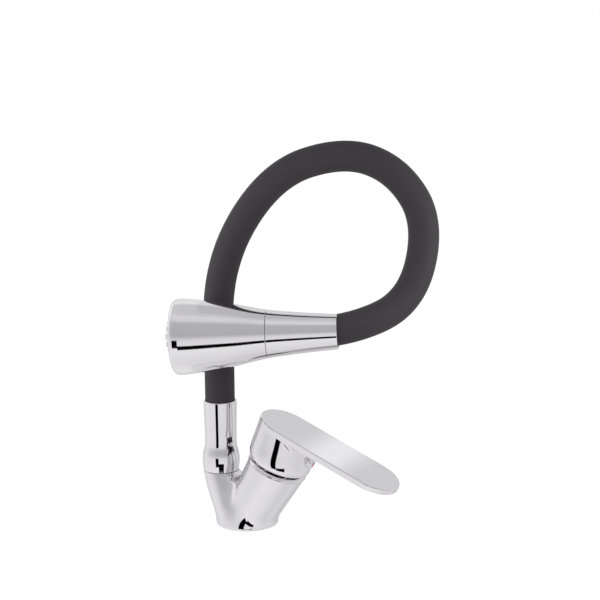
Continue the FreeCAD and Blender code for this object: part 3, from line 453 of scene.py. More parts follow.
def matt_silicone(name, tint):
    """Matt silicone: a dry fine grain, faint handling marks and a soft bloom."""
    return make_finish(name, tint, (0.94, 1.05), (0.56, 0.66), (38.0, 5.0, 0.6), specular=0.24,
                       relief=(0.10, 0.04 * MM, 3200.0, 2.0))


def make_materials():
    """Every finish by name, made once."""
    _, finishes = settings()
    chrome_tint = tuple(finishes.chrome)
    return {
        "chrome": plated("Chrome_plate", chrome_tint, finishes.chrome_roughness),
        "plated_plastic": plated("Plated_plastic", chrome_tint, finishes.head_roughness, 60.0),
        "brass": machined("Turned_brass", (0.72, 0.50, 0.22), 0.28),
        "steel": machined("Stainless_steel", (0.62, 0.62, 0.63), 0.25),
        "silicone": matt_silicone("Matt_silicone", tuple(finishes.silicone)),
        "tube_plastic": moulded("Water_tube_plastic", (0.72, 0.72, 0.70), 0.45),
        "seal_rubber": moulded("Seal_rubber", (0.02, 0.02, 0.02), 0.6, 1500.0, 0.2, 0.3),
        "cartridge_plastic": moulded("Cartridge_plastic", (0.62, 0.62, 0.60), 0.4),
        "ceramic": moulded("Ceramic_disc", (0.85, 0.84, 0.80), 0.18, 3000.0, 0.03, 0.5),
        "face_plastic": moulded("Spray_face_plastic", tuple(finishes.face_grey), 0.35, 1800.0, 0.06),
        "nozzle_rubber": moulded("Nozzle_silicone", tuple(finishes.nozzle), 0.5, 2500.0, 0.08, 0.3),
        "red_mark": moulded("Red_lacquer", (0.62, 0.035, 0.02), 0.25, 2500.0, 0.03, 0.5),
        "blue_mark": moulded("Blue_lacquer", (0.02, 0.09, 0.45), 0.25, 2500.0, 0.03, 0.5),
    }


FINISHES = {}


def finish_named(name):
    """One of the tap's materials."""
    if not bpy.data.materials.get("Chrome_plate"):
        FINISHES.update(make_materials())
    return FINISHES[name]


# Body: two lobes that flow into each other, in millimetres

FOOT_Z = 1.5
NECK_SEAT_Z = 43.2
NECK_SEAT_R = 15.1
NECK_FOOT_R = 23.3
NECK_REACH = -24.6
NECK_SWELL = 8.0         # how far the neck lobe leans out past a straight cone
HOUSING_FOOT_R = 23.5
HOUSING_TOP_R = 24.8
HOUSING_TOP = 56.0       # along the cartridge's axis
WEB_FOOT = 3.5
WEB_TOP = 37.0           # the web that fills the hollow between the lobes ends here
WEB_INSET = 7.0          # and stays this far inside their flanks
WEB_BLEND = 9.0
WEB_TOP_BLEND = 6.0
VALLEY_X = -6.2          # the neck's seat is cut level on this side of the valley
BODY_SIDES = 96
FIELD_STEP = 0.02        # distance over which the body's slope is taken
ON_SKIN = 0.06           # points this near the field's zero lie on the skin
ALONG_SKIN = 0.9         # and their faces belong to it when the cosine between their normals is larger
BODY_SHARP = math.radians(35)
# Bores: name, radius, foot, top, sides and place on the deck, or None along the cartridge's axis
BORES = (
    ("pocket", 17.6, 22.0, 57.0, 96, None),
    ("nut_seat", 19.5, 44.0, 57.0, 96, None),
    ("stud_hole", 3.4, -1.0, 12.0, 48, (-9.0, 0.0)),
    ("hot_hole", 4.5, -1.0, 11.0, 48, (5.0, -7.5)),
    ("cold_hole", 4.5, -1.0, 11.0, 48, (5.0, 7.5)),
)
SEAL_GROOVE = ((19.1, -1), (21.7, -1), (21.7, 2), (19.1, 2))


def smooth_least(a, b, width):
    """Smaller of two fields, blended over a width without a break in curvature."""
    near = np.maximum(width - np.abs(a - b), 0.0) / width
    return np.minimum(a, b) - near ** 3 * width / 6


def neck_section(height):
    """Centre and radius of the neck lobe's level section."""
    t = (height - FOOT_Z) / (NECK_SEAT_Z - FOOT_Z)
    radius = NECK_FOOT_R + (NECK_SEAT_R - NECK_FOOT_R) * t
    return NECK_REACH * t - NECK_SWELL * t * (1 - t), radius


def neck_field(points):
    """Signed distance from the neck lobe's skin, level by level."""
    centre, radius = neck_section(points[:, 2])
    return np.hypot(points[:, 0] - centre, points[:, 1]) - radius


def housing_top():
    """Centre of the housing's leaning top circle."""
    return CART_FOOT / MM + CART_AXIS * HOUSING_TOP


def housing_field(points):
    """Signed distance from the skin ruled between the round foot and the leaning top circle."""
    top = housing_top()
    rise = top.z - FOOT_Z

    def section(t):
        """Half width in x and z of the section at a share of the rise, and the way from its centre."""
        wide_x = HOUSING_FOOT_R * (1 - t) + HOUSING_TOP_R * t * CART_FORWARD.x
        wide_z = HOUSING_TOP_R * t * CART_FORWARD.z
        return wide_x, wide_z, points[:, 0] - top.x * t, points[:, 2] - FOOT_Z - rise * t

    t = (points[:, 2] - FOOT_Z) / rise
    for _ in range(8):
        wide_x, wide_z, dx, dz = section(t)
        off = dz * wide_x - dx * wide_z
        slope = -rise * wide_x + top.x * wide_z
        t = np.clip(t - off / slope, -0.3, 1.5)
    wide_x, wide_z, dx, dz = section(t)
    span = np.hypot(wide_x, wide_z)
    along = (dx * wide_x + dz * wide_z) / span
    width = HOUSING_FOOT_R * (1 - t) + HOUSING_TOP_R * t
    return (np.sqrt((along / span) ** 2 + (points[:, 1] / width) ** 2) - 1) * width


def web_section(height):
    """Centre and half width of the housing's end of the web, at a height."""
    top = housing_top()
    t = (height - FOOT_Z) / (top.z - FOOT_Z)
    return top.x * t, HOUSING_FOOT_R * (1 - t) + HOUSING_TOP_R * t


def web_field(points):
    """Rough distance from the web, whose flanks run straight from lobe to lobe."""
    height = points[:, 2]
    start, narrow = neck_section(height)
    end, wide = web_section(height)
    nearest = np.clip(points[:, 0], start, np.maximum(end, start))
    half = narrow + (wide - narrow) * (nearest - start) / np.maximum(end - start, 1.0) - WEB_INSET
    beside = np.abs(points[:, 1]) - half + 2 * np.abs(points[:, 0] - nearest)
    return -smooth_least(-beside, WEB_TOP - height, WEB_TOP_BLEND)


def body_field(points, foot_blend, valley_blend, foot_edge):
    """Signed distance from the whole body's skin, open at the top."""
    level = np.clip(points[:, 2] / NECK_SEAT_Z, 0.0, 1.0)
    width = foot_blend + (valley_blend - foot_blend) * level
    skin = smooth_least(neck_field(points), housing_field(points), width)
    skin = smooth_least(skin, web_field(points), WEB_BLEND)
    return -smooth_least(-skin, points[:, 2], foot_edge)


def body_slope(points, *blends):
    """Direction in which the body's field grows."""
    slope = np.zeros(points.shape)
    for axis in range(3):
        shift = np.zeros(3)
        shift[axis] = FIELD_STEP
        rise = body_field(points + shift, *blends) - body_field(points - shift, *blends)
        slope[:, axis] = rise / (2 * FIELD_STEP)
    return slope


def onto_body(points, *blends):
    """Points moved along the slope onto the body's skin."""
    for _ in range(12):
        slope = body_slope(points, *blends)
        size = np.maximum((slope ** 2).sum(1), 0.05)
        move = slope * (body_field(points, *blends) / size)[:, None]
        reach = np.maximum(np.linalg.norm(move, axis=1), 1e-9)
        points = points - move * np.minimum(1.0, 1.0 / reach)[:, None]
    return points


def ring_points(centre, across, beside, steps=BODY_SIDES):
    """Points of an ellipse from its centre and two half widths."""
    turns = [2 * math.pi * step / steps for step in range(steps)]
    return [centre + across * math.cos(turn) + beside * math.sin(turn) for turn in turns]


def mesh_points(piece):
    """A mesh's points as rows."""
    points = np.zeros(len(piece.data.vertices) * 3)
    piece.data.vertices.foreach_get("co", points)
    return points.reshape(-1, 3)


def cut_out(piece, tool):
    """Takes one solid out of another and deletes it."""
    apply_modifier(piece, "BOOLEAN", operation="DIFFERENCE", object=tool, solver="EXACT")
    bpy.data.objects.remove(tool)


def bore(piece, name, radius, low, high, place, steps=48):
    """Cuts a plain round bore, in millimetres along Z of a frame."""
    leave_edit_mode()
    bpy.ops.mesh.primitive_cylinder_add(vertices=steps, radius=radius * MM, depth=(high - low) * MM,
                                        location=(0, 0, (high + low) / 2 * MM))
    tool = named(bpy.context.object, name)
    bpy.ops.object.transform_apply(location=True, rotation=True, scale=True)
    cut_out(piece, put_in_place(tool, place))


class TAP_OT_body(bpy.types.Operator):
    """Model the two-lobed body, with its bores and deck holes"""
    bl_idname = "tap.body"
    bl_label = "Body"

    def execute(self, context):
        sizes, _ = settings()
        blends = (sizes.foot_blend / MM, sizes.valley_blend / MM, sizes.foot_edge / MM)
        neck = loft("neck_lobe", self.neck_rings())
        web = loft("web", self.web_rings())
        body = loft("tap_body", self.housing_rings())
        pick(body, neck, web)
        bpy.ops.object.join()
        apply_modifier(body, "REMESH", mode="VOXEL", voxel_size=sizes.skin_grain)
        for smoothing in (0, 3, 3):
            if smoothing:
                apply_modifier(body, "SMOOTH", factor=0.5, iterations=smoothing)
            points = onto_body(mesh_points(body) / MM, *blends)
            body.data.vertices.foreach_set("co", (points * MM).ravel())
        self.cut_seats(body)
        for name, radius, low, high, steps, deck in BORES:
            place = Matrix.Translation((deck[0] * MM, deck[1] * MM, 0)) if deck else CART
            bore(body, name, radius, low, high, place, steps)
        cut_out(body, lathe("seal_groove", SEAL_GROOVE, Matrix.Identity(4), steps=BODY_SIDES))
        self.shade(body, blends)
        finish_piece(body, "body", "chrome", "body_casting")
        return {"FINISHED"}

    @staticmethod
    def neck_rings():
        """Level rings of the neck lobe."""
        rings = []
        for z in np.linspace(0.2, NECK_SEAT_Z + 4, 12):
            x, r = neck_section(z)
            rings.append(ring_points(Vector((x, 0, z)) * MM, Vector((r * MM, 0, 0)), Vector((0, r * MM, 0))))
        return rings

    @staticmethod
    def web_rings():
        """Level rings of the web, half round at both lobes."""
        rings = []
        for z in np.linspace(WEB_FOOT, WEB_TOP, 10):
            start, narrow = neck_section(z)
            end, wide = web_section(z)
            ring = []
            for turn in np.linspace(0, 2 * math.pi, BODY_SIDES, endpoint=False):
                x, r = (start, narrow) if math.cos(turn) < 0 else (end, wide)
                r -= WEB_INSET
                ring.append(Vector((x + r * math.cos(turn), r * math.sin(turn), z)) * MM)
            rings.append(ring)
        return rings

    @staticmethod
    def housing_rings():
        """Rings that lean over from the round foot to the housing's top."""
        rings = []
        top = CART_FOOT + CART_AXIS * HOUSING_TOP * MM
        for t in np.linspace(-0.02, 1.1, 12):
            across = (Vector((1, 0, 0)) * HOUSING_FOOT_R * (1 - t) + CART_FORWARD * HOUSING_TOP_R * t) * MM
            beside = Vector((0, HOUSING_FOOT_R * (1 - t) + HOUSING_TOP_R * t, 0)) * MM
            centre = Vector((top.x * t, 0, FOOT_Z * MM + (top.z - FOOT_Z * MM) * t))
            rings.append(ring_points(centre, across, beside))
        return rings

    @staticmethod
    def cut_seats(body):
        """Cuts the housing's top across its axis, and the neck's seat level."""
        top = CART_FOOT + CART_AXIS * HOUSING_TOP * MM
        edit_whole(body)
        bpy.ops.mesh.bisect(plane_co=top, plane_no=CART_AXIS, use_fill=True, clear_outer=True)
        bpy.ops.mesh.select_all(action="DESELECT")
        for face in bmesh.from_edit_mesh(body.data).faces:
            face.select_set(face.calc_center_median().x < VALLEY_X * MM)
        bmesh.update_edit_mesh(body.data)
        bpy.ops.mesh.bisect(plane_co=(0, 0, NECK_SEAT_Z * MM), plane_no=(0, 0, 1), use_fill=True,
                            clear_outer=True)
        leave_edit_mode()

    @staticmethod
    def shade(body, blends):
        """Normals from the smooth field on the skin, and from the faces on the cuts."""
        pick(body)
        bpy.ops.object.shade_smooth_by_angle(angle=BODY_SHARP)
        points = mesh_points(body) / MM
        slope = body_slope(points, *blends)
        slope /= np.maximum(np.linalg.norm(slope, axis=1), 1e-9)[:, None]
        on_skin = np.abs(body_field(points, *blends)) < ON_SKIN
        mesh = body.data
        corner_normals = np.zeros(len(mesh.loops) * 3)
        mesh.corner_normals.foreach_get("vector", corner_normals)
        corner_normals = corner_normals.reshape(-1, 3)
        for face in mesh.polygons:
            facing = np.array(face.normal)
            for loop in face.loop_indices:
                vertex = mesh.loops[loop].vertex_index
                if on_skin[vertex] and slope[vertex] @ facing > ALONG_SKIN:
                    corner_normals[loop] = slope[vertex]
        mesh.normals_split_custom_set([tuple(normal) for normal in corner_normals])


# Collar and cover ring

COLLAR_FOOT_Z = 43.6
COLLAR_TOP_Z = 103.3
COLLAR_SHAPE = ((15.1, 0.0), (15.6, 5.0), (15.75, 9.5), (15.45, 13.5), (14.5, 17.5),
                (13.65, 21.5), (13.45, 25.5), (13.6, 38.0), (13.85, 50.0), (14.05, 58.0))
COLLAR_RIM_R = 14.1
COLLAR_MOUTH_R = 12.6    # clear of the hose
COLLAR_BORE_R = 11.4
COLLAR_STEP_Z = 90.0
COLLAR_SCREW_Z = 58.0
SCREW_HOLE = (2.05, 10.0, 18.0)     # radius, and from and to outside the neck's axis
RING_FOOT = ((19.4, 53.8, 0), (19.4, 56.05, 0), (25.15, 56.05, 0.2), (25.4, 56.6, 0.2))
RING_CROWN = ((25.38, 57.0), (25.15, 57.9), (24.3, 58.9), (22.8, 59.9), (21.0, 60.6), (19.2, 61.0))
RING_MOUTH = [(17.5, 61.0), (17.5, 53.8)]


class TAP_OT_collar(bpy.types.Operator):
    """Model the slim turning collar with its bulbed foot"""
    bl_idname = "tap.collar"
    bl_label = "Collar"

    def execute(self, context):
        outer = [(r, COLLAR_FOOT_Z + h) for r, h in spline(COLLAR_SHAPE, 90)]
        foot = rounded([(COLLAR_BORE_R, COLLAR_FOOT_Z, 0), (*outer[0], 0.25), (*outer[4], 0)])
        rim = rounded([(*outer[-1], 0), (COLLAR_RIM_R, COLLAR_TOP_Z, 0.7),
                       (COLLAR_MOUTH_R, COLLAR_TOP_Z, 0.35), (COLLAR_MOUTH_R, COLLAR_STEP_Z, 0),
                       (COLLAR_BORE_R, COLLAR_STEP_Z, 0)])
        collar = lathe("neck_collar_skin", foot + outer[5:] + rim, NECK)
        screw = placement(NECK @ Vector((0, 0, COLLAR_SCREW_Z * MM)), -LOOP_FRONT, Vector((0, 0, 1)))
        bore(collar, "screw_hole", *SCREW_HOLE, screw)
        smooth(collar)
        finish_piece(collar, "spout", "chrome", "neck_collar")
        return {"FINISHED"}


class TAP_OT_cover_ring(bpy.types.Operator):
    """Model the domed ring round the lever's spindle"""
    bl_idname = "tap.cover_ring"
    bl_label = "Cover ring"

    def execute(self, context):
        ring = lathe("cover_ring_skin", rounded(RING_FOOT) + spline(RING_CROWN, 24) + RING_MOUTH, CART)
        finish_piece(ring, "body", "chrome", "cover_ring")
        return {"FINISHED"}


# Lever, in millimetres along the cartridge's frame

RIM_S = 62.3
CONE_S = 62.9
BLADE_FOOT_S = 90.1
BLADE_TOP_S = 95.1
BLADE_R = 23.7
BLADE_REAR = -5.1
BLADE_RUN = 82.0
CEILING_S = 87.9
LEVER_SIDES = 192
LEVER_SHARP = 50.0       # degrees between faces at which an edge stays hard
LEVER_MERGE = 0.003 * MM
CONE_STEPS = 30
FILLET_SHARE = 0.85      # of the room between the cap's side and the blade's, for the hollow at most
EDGE_SHARE = 0.3         # of the hollow's radius, for the rounding of the blade's lower edge at most
CAP_SHAPE = ((26.35, 62.9), (26.85, 64.5), (27.0, 66.5), (26.75, 69.5), (25.9, 75.0), (23.7, 90.1))
# The cap's hollow and lip: how far outside the outer skin, and how high
CAP_LIP = ((-2.4, CEILING_S), (-1.9, 62.7), (-1.5, RIM_S), (-0.55, RIM_S), (-0.16, 62.46))
BOSS = ((5.7, 64.5, 0.2), (7.0, 64.5, 0.4), (7.0, 88.5, 0), (5.7, 88.5, 0))


def quarter(steps):
    """Steps of a quarter turn, each as 1 minus the cosine and 1 minus the sine."""
    turns = [math.pi / 2 * step / steps for step in range(steps + 1)]
    return [(1 - math.cos(turn), 1 - math.sin(turn)) for turn in turns]


class TAP_OT_lever(bpy.types.Operator):
    """Model the lever's leaning cap and long flat blade in one skin"""
    bl_idname = "tap.lever"
    bl_label = "Lever"

    def execute(self, context):
        sizes, _ = settings()
        turns = [2 * math.pi * (step + 0.5) / LEVER_SIDES for step in range(LEVER_SIDES)]
        hollows = [(turn, self.fillet_at(turn, sizes.fillet / MM)) for turn in turns]
        tops = [(turn, BLADE_FOOT_S - hollow) for turn, hollow in hollows]
        edge = sizes.blade_edge / MM
        rings = [[self.cap_point(turn, outside, s) for turn in turns] for outside, s in CAP_LIP]
        for step in range(CONE_STEPS + 1):
            rings.append([self.cap_point(turn, 0.0, CONE_S + (top - CONE_S) * step / CONE_STEPS)
                          for turn, top in tops])
        for out, short in quarter(10)[1:]:
            rings.append([self.cap_point(turn, 0.0, BLADE_FOOT_S - hollow)
                          + Vector((math.cos(turn) * out, math.sin(turn) * out, 1 - short)) * hollow
                          for turn, hollow in hollows])
        for rise, inset in quarter(4):
            ring = []
            for turn, hollow in hollows:
                small = min(edge, EDGE_SHARE * hollow)
                ring.append(self.blade_point(turn, small * inset, BLADE_FOOT_S + small * rise))
            rings.append(ring)
        for inset, drop in quarter(6):
            rings.append([self.blade_point(turn, edge * inset, BLADE_TOP_S - edge * drop) for turn in turns])
        lever = loft("lever_skin", [[point * MM for point in ring] for ring in rings])
        edit_whole(lever)
        bpy.ops.mesh.remove_doubles(threshold=LEVER_MERGE)
        bpy.ops.mesh.normals_make_consistent(inside=False)
        leave_edit_mode()
        smooth(put_in_place(lever, CART), LEVER_SHARP)
        boss = lathe("lever_boss", rounded(BOSS), CART, steps=64)
        pick(lever, boss)
        bpy.ops.object.join()
        finish_piece(lever, "lever", "chrome", "lever_handle")
        return {"FINISHED"}

    @staticmethod
    def fillet_at(turn, fillet):
        """Radius of the hollow under the blade, which fades out towards the cap's sides."""
        if math.cos(turn) <= 0:
            return 0.0
        side = abs(math.sin(turn))
        return min(fillet, FILLET_SHARE * BLADE_R * (1 - side) / max(side, 0.01))

    @staticmethod
    def cap_point(turn, grow, s):
        """Point of the cap's outer skin at a height, grown outwards."""
        t = (s - RIM_S) / (BLADE_FOOT_S - RIM_S)
        radius = float(np.interp(s, *CAP_CURVE)) + grow
        return Vector((BLADE_REAR * t + radius * math.cos(turn), radius * math.sin(turn), s))

    @staticmethod
    def blade_point(turn, inset, s):
        """Point of the blade's outline: a rear round and a front round with straight sides."""
        radius = BLADE_R - inset
        centre = BLADE_REAR + (BLADE_RUN if math.cos(turn) > 0 else 0.0)
        return Vector((centre + radius * math.cos(turn), radius * math.sin(turn), s))


CAP_LINE = spline(CAP_SHAPE, 80)
CAP_CURVE = ([s for r, s in CAP_LINE], [r for r, s in CAP_LINE])

# Hose: the route's corners in the loop's own plane, in millimetres

ARM_FOOT_Z = 88.0
ARM_POINTS = ((0.0, 0.0, 219.0), (45.0, 4.5, 292.0), (105.0, 10.0, 311.0), (147.0, 16.5, 295.5),
              (172.5, 23.5, 254.0), (158.0, 35.0, 191.5))
ARM_STRAIGHT_Z = 128.0   # the line leaves the upright halfway between here and its first corner
HEAD_LEAD = 9.0
HEAD_GRIP = 22.0
SLEEVE_DEPTH = 12.0
HOSE_SIDES = 72
FIRST_HINGE_Z = 150.0


class TAP_OT_hose(bpy.types.Operator):
    """Model the silicone hose in seven lengths, each spanning one of the arm's hinges"""
    bl_idname = "tap.hose"
    bl_label = "Hose"

    def execute(self, context):
        sizes, _ = settings()
        route = [in_loop(0, 0, ARM_FOOT_Z), in_loop(0, 0, ARM_STRAIGHT_Z)]
        route += [in_loop(*point) for point in ARM_POINTS]
        route += [HEAD @ Vector((0, 0, -HEAD_LEAD * MM)), HEAD @ Vector((0, 0, HEAD_GRIP * MM))]
        hinges = [in_loop(0, 0, FIRST_HINGE_Z)] + [(a + b) / 2 for a, b in zip(route[2:], route[3:-1])]
        line = self.centre_line(route)
        places = [0.0]
        for before, after in zip(line, line[1:]):
            places.append(places[-1] + (after - before).length)
        end = self.place_of(line, places, HEAD @ Vector((0, 0, SLEEVE_DEPTH * MM)))
        stops = [self.place_of(line, places, hinge) for hinge in hinges]
        cuts = [0.0] + [(a + b) / 2 for a, b in zip(stops, stops[1:])] + [end]
        side = LOOP_FRONT.copy()
        for number, (low, high) in enumerate(zip(cuts, cuts[1:])):
            count = max(4, round((high - low) / sizes.hose_step))
            rings = []
            for step in range(count + 1):
                place = low + (high - low) * step / count
                centre, heading = self.at(line, places, place)
                if step:
                    side = (side - heading * side.dot(heading)).normalized()
                rings.append(ring_points(centre, side * sizes.hose_radius,
                                         heading.cross(side) * sizes.hose_radius, HOSE_SIDES))
            piece = loft("hose_%d" % (number + 1), rings)
            self.shade(piece, [sum(ring, Vector()) / len(ring) for ring in rings])
            nodes = ["arm_sleeve_%d" % (number + 1)]
            if number == len(stops) - 1:
                nodes.append("arm_sleeve_%d" % (number + 2))
            finish_piece(piece, None, "silicone", *nodes)
            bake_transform(piece)
        return {"FINISHED"}

    @staticmethod
    def centre_line(route):
        """Points along the smooth line that the route's corners steer."""
        curve = bpy.data.curves.new("hose_route", "CURVE")
        curve.dimensions = "3D"
        curve.resolution_u = 64
        path = curve.splines.new("NURBS")
        path.points.add(len(route) - 1)
        for point, corner in zip(path.points, route):
            point.co = (*corner, 1.0)
        path.order_u = 3
        path.use_endpoint_u = True
        holder = bpy.data.objects.new("hose_route", curve)
        bpy.context.scene.collection.objects.link(holder)
        mesh = bpy.data.meshes.new_from_object(holder)
        line = [vertex.co.copy() for vertex in mesh.vertices]
        bpy.data.objects.remove(holder)
        bpy.data.meshes.remove(mesh)
        return line

    @staticmethod
    def place_of(line, places, point):
        """Distance along the line of its nearest point."""
        nearest = min(range(len(line)), key=lambda index: (line[index] - point).length)
        return places[nearest]

    @staticmethod
    def at(line, places, place):
        """Point and heading at a distance along the line."""
        i = min(max(int(np.searchsorted(places, place)) - 1, 0), len(line) - 2)
        t = (place - places[i]) / max(places[i + 1] - places[i], 1e-9)
        point = line[i].lerp(line[i + 1], t)
        before = (line[i + 1] - line[max(i - 1, 0)]).normalized()
        after = (line[min(i + 2, len(line) - 1)] - line[i]).normalized()
        return point, before.lerp(after, t).normalized()

    @staticmethod
    def shade(piece, centres):
        """Normals straight out from the centre line, so that two lengths meet without a seam."""
        mesh = piece.data
        pick(piece)
        bpy.ops.object.shade_smooth()
        normals = [None] * len(mesh.loops)
        outward = [(vertex.co - centres[index // HOSE_SIDES]).normalized()
                   for index, vertex in enumerate(mesh.vertices)]
        for face in mesh.polygons:
            for loop in face.loop_indices:
                vertex = mesh.loops[loop].vertex_index
                normals[loop] = face.normal.copy() if len(face.vertices) > 4 else outward[vertex]
        mesh.normals_split_custom_set(normals)


# Spray head, in millimetres along its own axis from its rear rim

HEAD_SHAPE = ((14.0, 0.0), (15.0, 14.0), (16.2, 28.0), (17.6, 42.0), (19.3, 55.65), (21.3, 66.0),
              (24.0, 78.0), (27.6, 100.0), (29.8, 116.0), (30.5, 124.0))
SEAM_REAR = 55.5
SEAM_FRONT = 55.8
SEAM_EDGE = 0.25
SEAM_SPARE = 0.4         # each shell's curve stops this short of the seam, for its rounding
REAR_RIM = ((13.0, 16.5, 0), (13.0, 0.0, 0.3), (14.0, 0.0, 0.45))
REAR_BORE = ((17.4, SEAM_REAR, 0), (15.8, 42.0, 0), (14.4, 28.0, 0))
BAND_H = 124.0           # the straight band behind the mouth starts here
LIP_H = 130.96
MOUTH_BORE_R = 25.5
FRONT_BORE_R = 10.2
LIP = ((30.36, BAND_H, 0), (30.44, LIP_H, 4.3), (MOUTH_BORE_R, LIP_H, 0.35))
FRONT_BORE = ((MOUTH_BORE_R, 117.0, 0), (24.0, 100.0, 0), (20.0, 78.0, 0), (17.6, 60.0, 0),
              (FRONT_BORE_R, 58.8, 0))
MOUTH_H = 131.0
FACE_FOOT_H = 125.1
FACE_R = 25.35
DOME_R = 21.0
DOME_H = 6.2
AERATOR_R = 10.6
NOZZLE_RINGS = ((13.2, 12), (16.2, 16), (19.2, 20))
NOZZLE = ((0, -0.6), (1.0, -0.6), (1.0, 0.0), (0.86, 0.25), (0.70, 0.4), (0.45, 0.4), (0.34, 0.28),
          (0.32, -0.3), (0, -0.3))


def dome_height(radius):
    """Height of the domed spray face."""
    return MOUTH_H + DOME_H * (1 - (radius / DOME_R) ** 2)


class TAP_OT_head(bpy.types.Operator):
    """Model the spray head's two plated shells"""
    bl_idname = "tap.head"
    bl_label = "Spray head"

    def execute(self, context):
        line = spline(HEAD_SHAPE, 180)
        radii, heights = zip(*line)
        rear_radius, front_radius = np.interp((SEAM_REAR, SEAM_FRONT), heights, radii)
        skin = [(r, h) for r, h in line if 1.0 < h < SEAM_REAR - SEAM_SPARE]
        rear = rounded([*REAR_RIM, (*skin[0], 0)]) + skin[1:]
        rear += rounded([(*skin[-1], 0), (rear_radius, SEAM_REAR, SEAM_EDGE), *REAR_BORE])[1:]
        shell = lathe("head_rear_skin", rear, HEAD)
        finish_piece(shell, "head", "plated_plastic", "head_rear_shell")
        skin = [(r, h) for r, h in line if SEAM_FRONT + SEAM_SPARE < h < BAND_H]
        front = rounded([(FRONT_BORE_R, SEAM_FRONT, 0), (front_radius, SEAM_FRONT, SEAM_EDGE), (*skin[0], 0)])
        front += skin[1:] + rounded([*LIP, *FRONT_BORE], 10)[1:]
        shell = lathe("head_front_skin", front, HEAD)
        finish_piece(shell, "spray_front", "plated_plastic", "head_front_shell")
        return {"FINISHED"}


class TAP_OT_spray_face(bpy.types.Operator):
    """Model the domed spray face with its rings of soft nozzles"""
    bl_idname = "tap.spray_face"
    bl_label = "Spray face"

    def execute(self, context):
        dome = [(r, dome_height(r)) for r in np.linspace(DOME_R, AERATOR_R + 0.4, 24)]
        outline = [(AERATOR_R, FACE_FOOT_H), (FACE_R, FACE_FOOT_H)]
        outline += rounded([(FACE_R, FACE_FOOT_H, 0), (FACE_R, MOUTH_H, 0.4), (DOME_R + 0.6, MOUTH_H, 0)])[1:]
        mouth = dome_height(AERATOR_R)
        outline += dome + [(AERATOR_R + 0.1, mouth - 0.1), (AERATOR_R, mouth - 0.4)]
        plate = lathe("spray_face_skin", outline, HEAD)
        plate.data.materials.append(finish_named("face_plastic"))
        nozzle = lathe("nozzle", NOZZLE, Matrix.Identity(4), closed=False, steps=14)
        nozzle.data.materials.append(finish_named("nozzle_rubber"))
        nozzles = []
        for radius, count in NOZZLE_RINGS:
            for step in range(count):
                turn = 2 * math.pi * step / count
                place = Vector((radius * math.cos(turn), radius * math.sin(turn), dome_height(radius))) * MM
                copy = bpy.data.objects.new("nozzle_copy", nozzle.data.copy())
                bpy.context.scene.collection.objects.link(copy)
                copy.data.transform(HEAD @ Matrix.Translation(place))
                nozzles.append(copy)
        bpy.data.objects.remove(nozzle)
        pick(plate, *nozzles)
        bpy.ops.object.join()
        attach(plate, "spray_front")
        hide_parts("spray_plate")
        return {"FINISHED"}


class TAP_OT_fittings(bpy.types.Operator):
    """Give every construction piece that still shows its own finish"""
    bl_idname = "tap.fittings"
    bl_label = "Fittings"

    def execute(self, context):
        for part in frame["record"]["subparts"]:
            mesh = frame["nodes"][part["node"]].data
            mesh.materials.clear()
            mesh.materials.append(finish_named(part["material_slot"]))
        return {"FINISHED"}


# Stage

CAMERA_PLACE = Vector((0.519279, -0.918110, 0.362226))
CAMERA_AIM = Vector((0.049030, 0.005206, 0.192361))
CAMERA_ROLL = math.radians(-0.53)
CAMERA_LENS = 78.0
CAMERA_TURN = math.atan2(CAMERA_PLACE.y, CAMERA_PLACE.x - 0.03)


class TapStage(bpy.types.PropertyGroup):
    """Light and background."""
    open_light: strength("Open light", "Even light from all round", 0.56)
    key_light: strength("Key light", "Strength of the soft key light", 1.55)


# What polished metal sees: brightness by height above the horizon, in degrees, on the camera's side and
# behind the tap
FRONT_SKY = ((-90, 0.80), (-60, 0.86), (-32, 0.93), (-27, 0.91), (-12, 0.84), (-2, 0.80), (6, 0.62),
             (12, 0.50), (50, 0.53), (60, 0.75), (72, 0.79), (78, 0.70), (90, 0.66))
BACK_SKY = ((-90, 0.90), (-20, 0.92), (0, 0.86), (14, 0.88), (24, 0.86), (28, 0.83), (31, 0.83), (34, 0.92),
            (48, 0.90), (57, 0.66), (90, 0.65))
SKY_BLEND = 0.35         # half width of the blend between them, as a share of straight ahead
RIGHT_FADE = (0.0, -80.0, 0.14)     # from, to, in degrees left of the camera, and how much darker
# A brighter patch of wall to the left: its sides and heights, each as the four degrees of a soft window
WALL_SIDES = (24.0, 50.0, 130.0, 160.0)
WALL_HEIGHTS = (0.0, 12.0, 50.0, 62.0)
WALL_BRIGHT = 0.12
# Wall straight behind the tap, which the plating mirrors along its outline
BEHIND_SIDES = (100.0, 150.0)
BEHIND_HEIGHTS = (-60.0, -40.0, 2.0, 14.0)
BEHIND_DARK = 0.20
# Black panels in front: the sides and heights of each one's window, in degrees
PANELS = (
    ((13.0, 14.0, 32.0, 33.0), (-24.5, -23.5, -1.5, -0.5)),
    ((-20.0, -18.0, 13.5, 14.5), (-30.5, -29.5, -18.3, -17.6)),
)
# A narrow soft strip light behind the tap, which shows as the bright band across the lever
STRIP_MIDDLE = Vector((-0.089, 0.868, 0.488))
STRIP_ACROSS = Vector((0.982, -0.009, 0.190))
STRIP_HALF = 0.024
STRIP_FLAT = 0.1 * STRIP_HALF
STRIP_ENDS = (0.94, 0.98)
STRIP_BRIGHT = 0.27
FLOOR_SIZE = 30.0
FLOOR_TINTS = (0.93, 0.95)
FLOOR_ROUGHNESS = 0.9
FLOOR_GLOW = 1.06        # brightness of the floor's own glow, and its share in what the camera sees
FLOOR_SHARE = 0.8
# Broad soft light from the upper left, in front
KEY_WAY = Vector((-0.25, 0.75, -1.0))
KEY_SPREAD = math.radians(50)
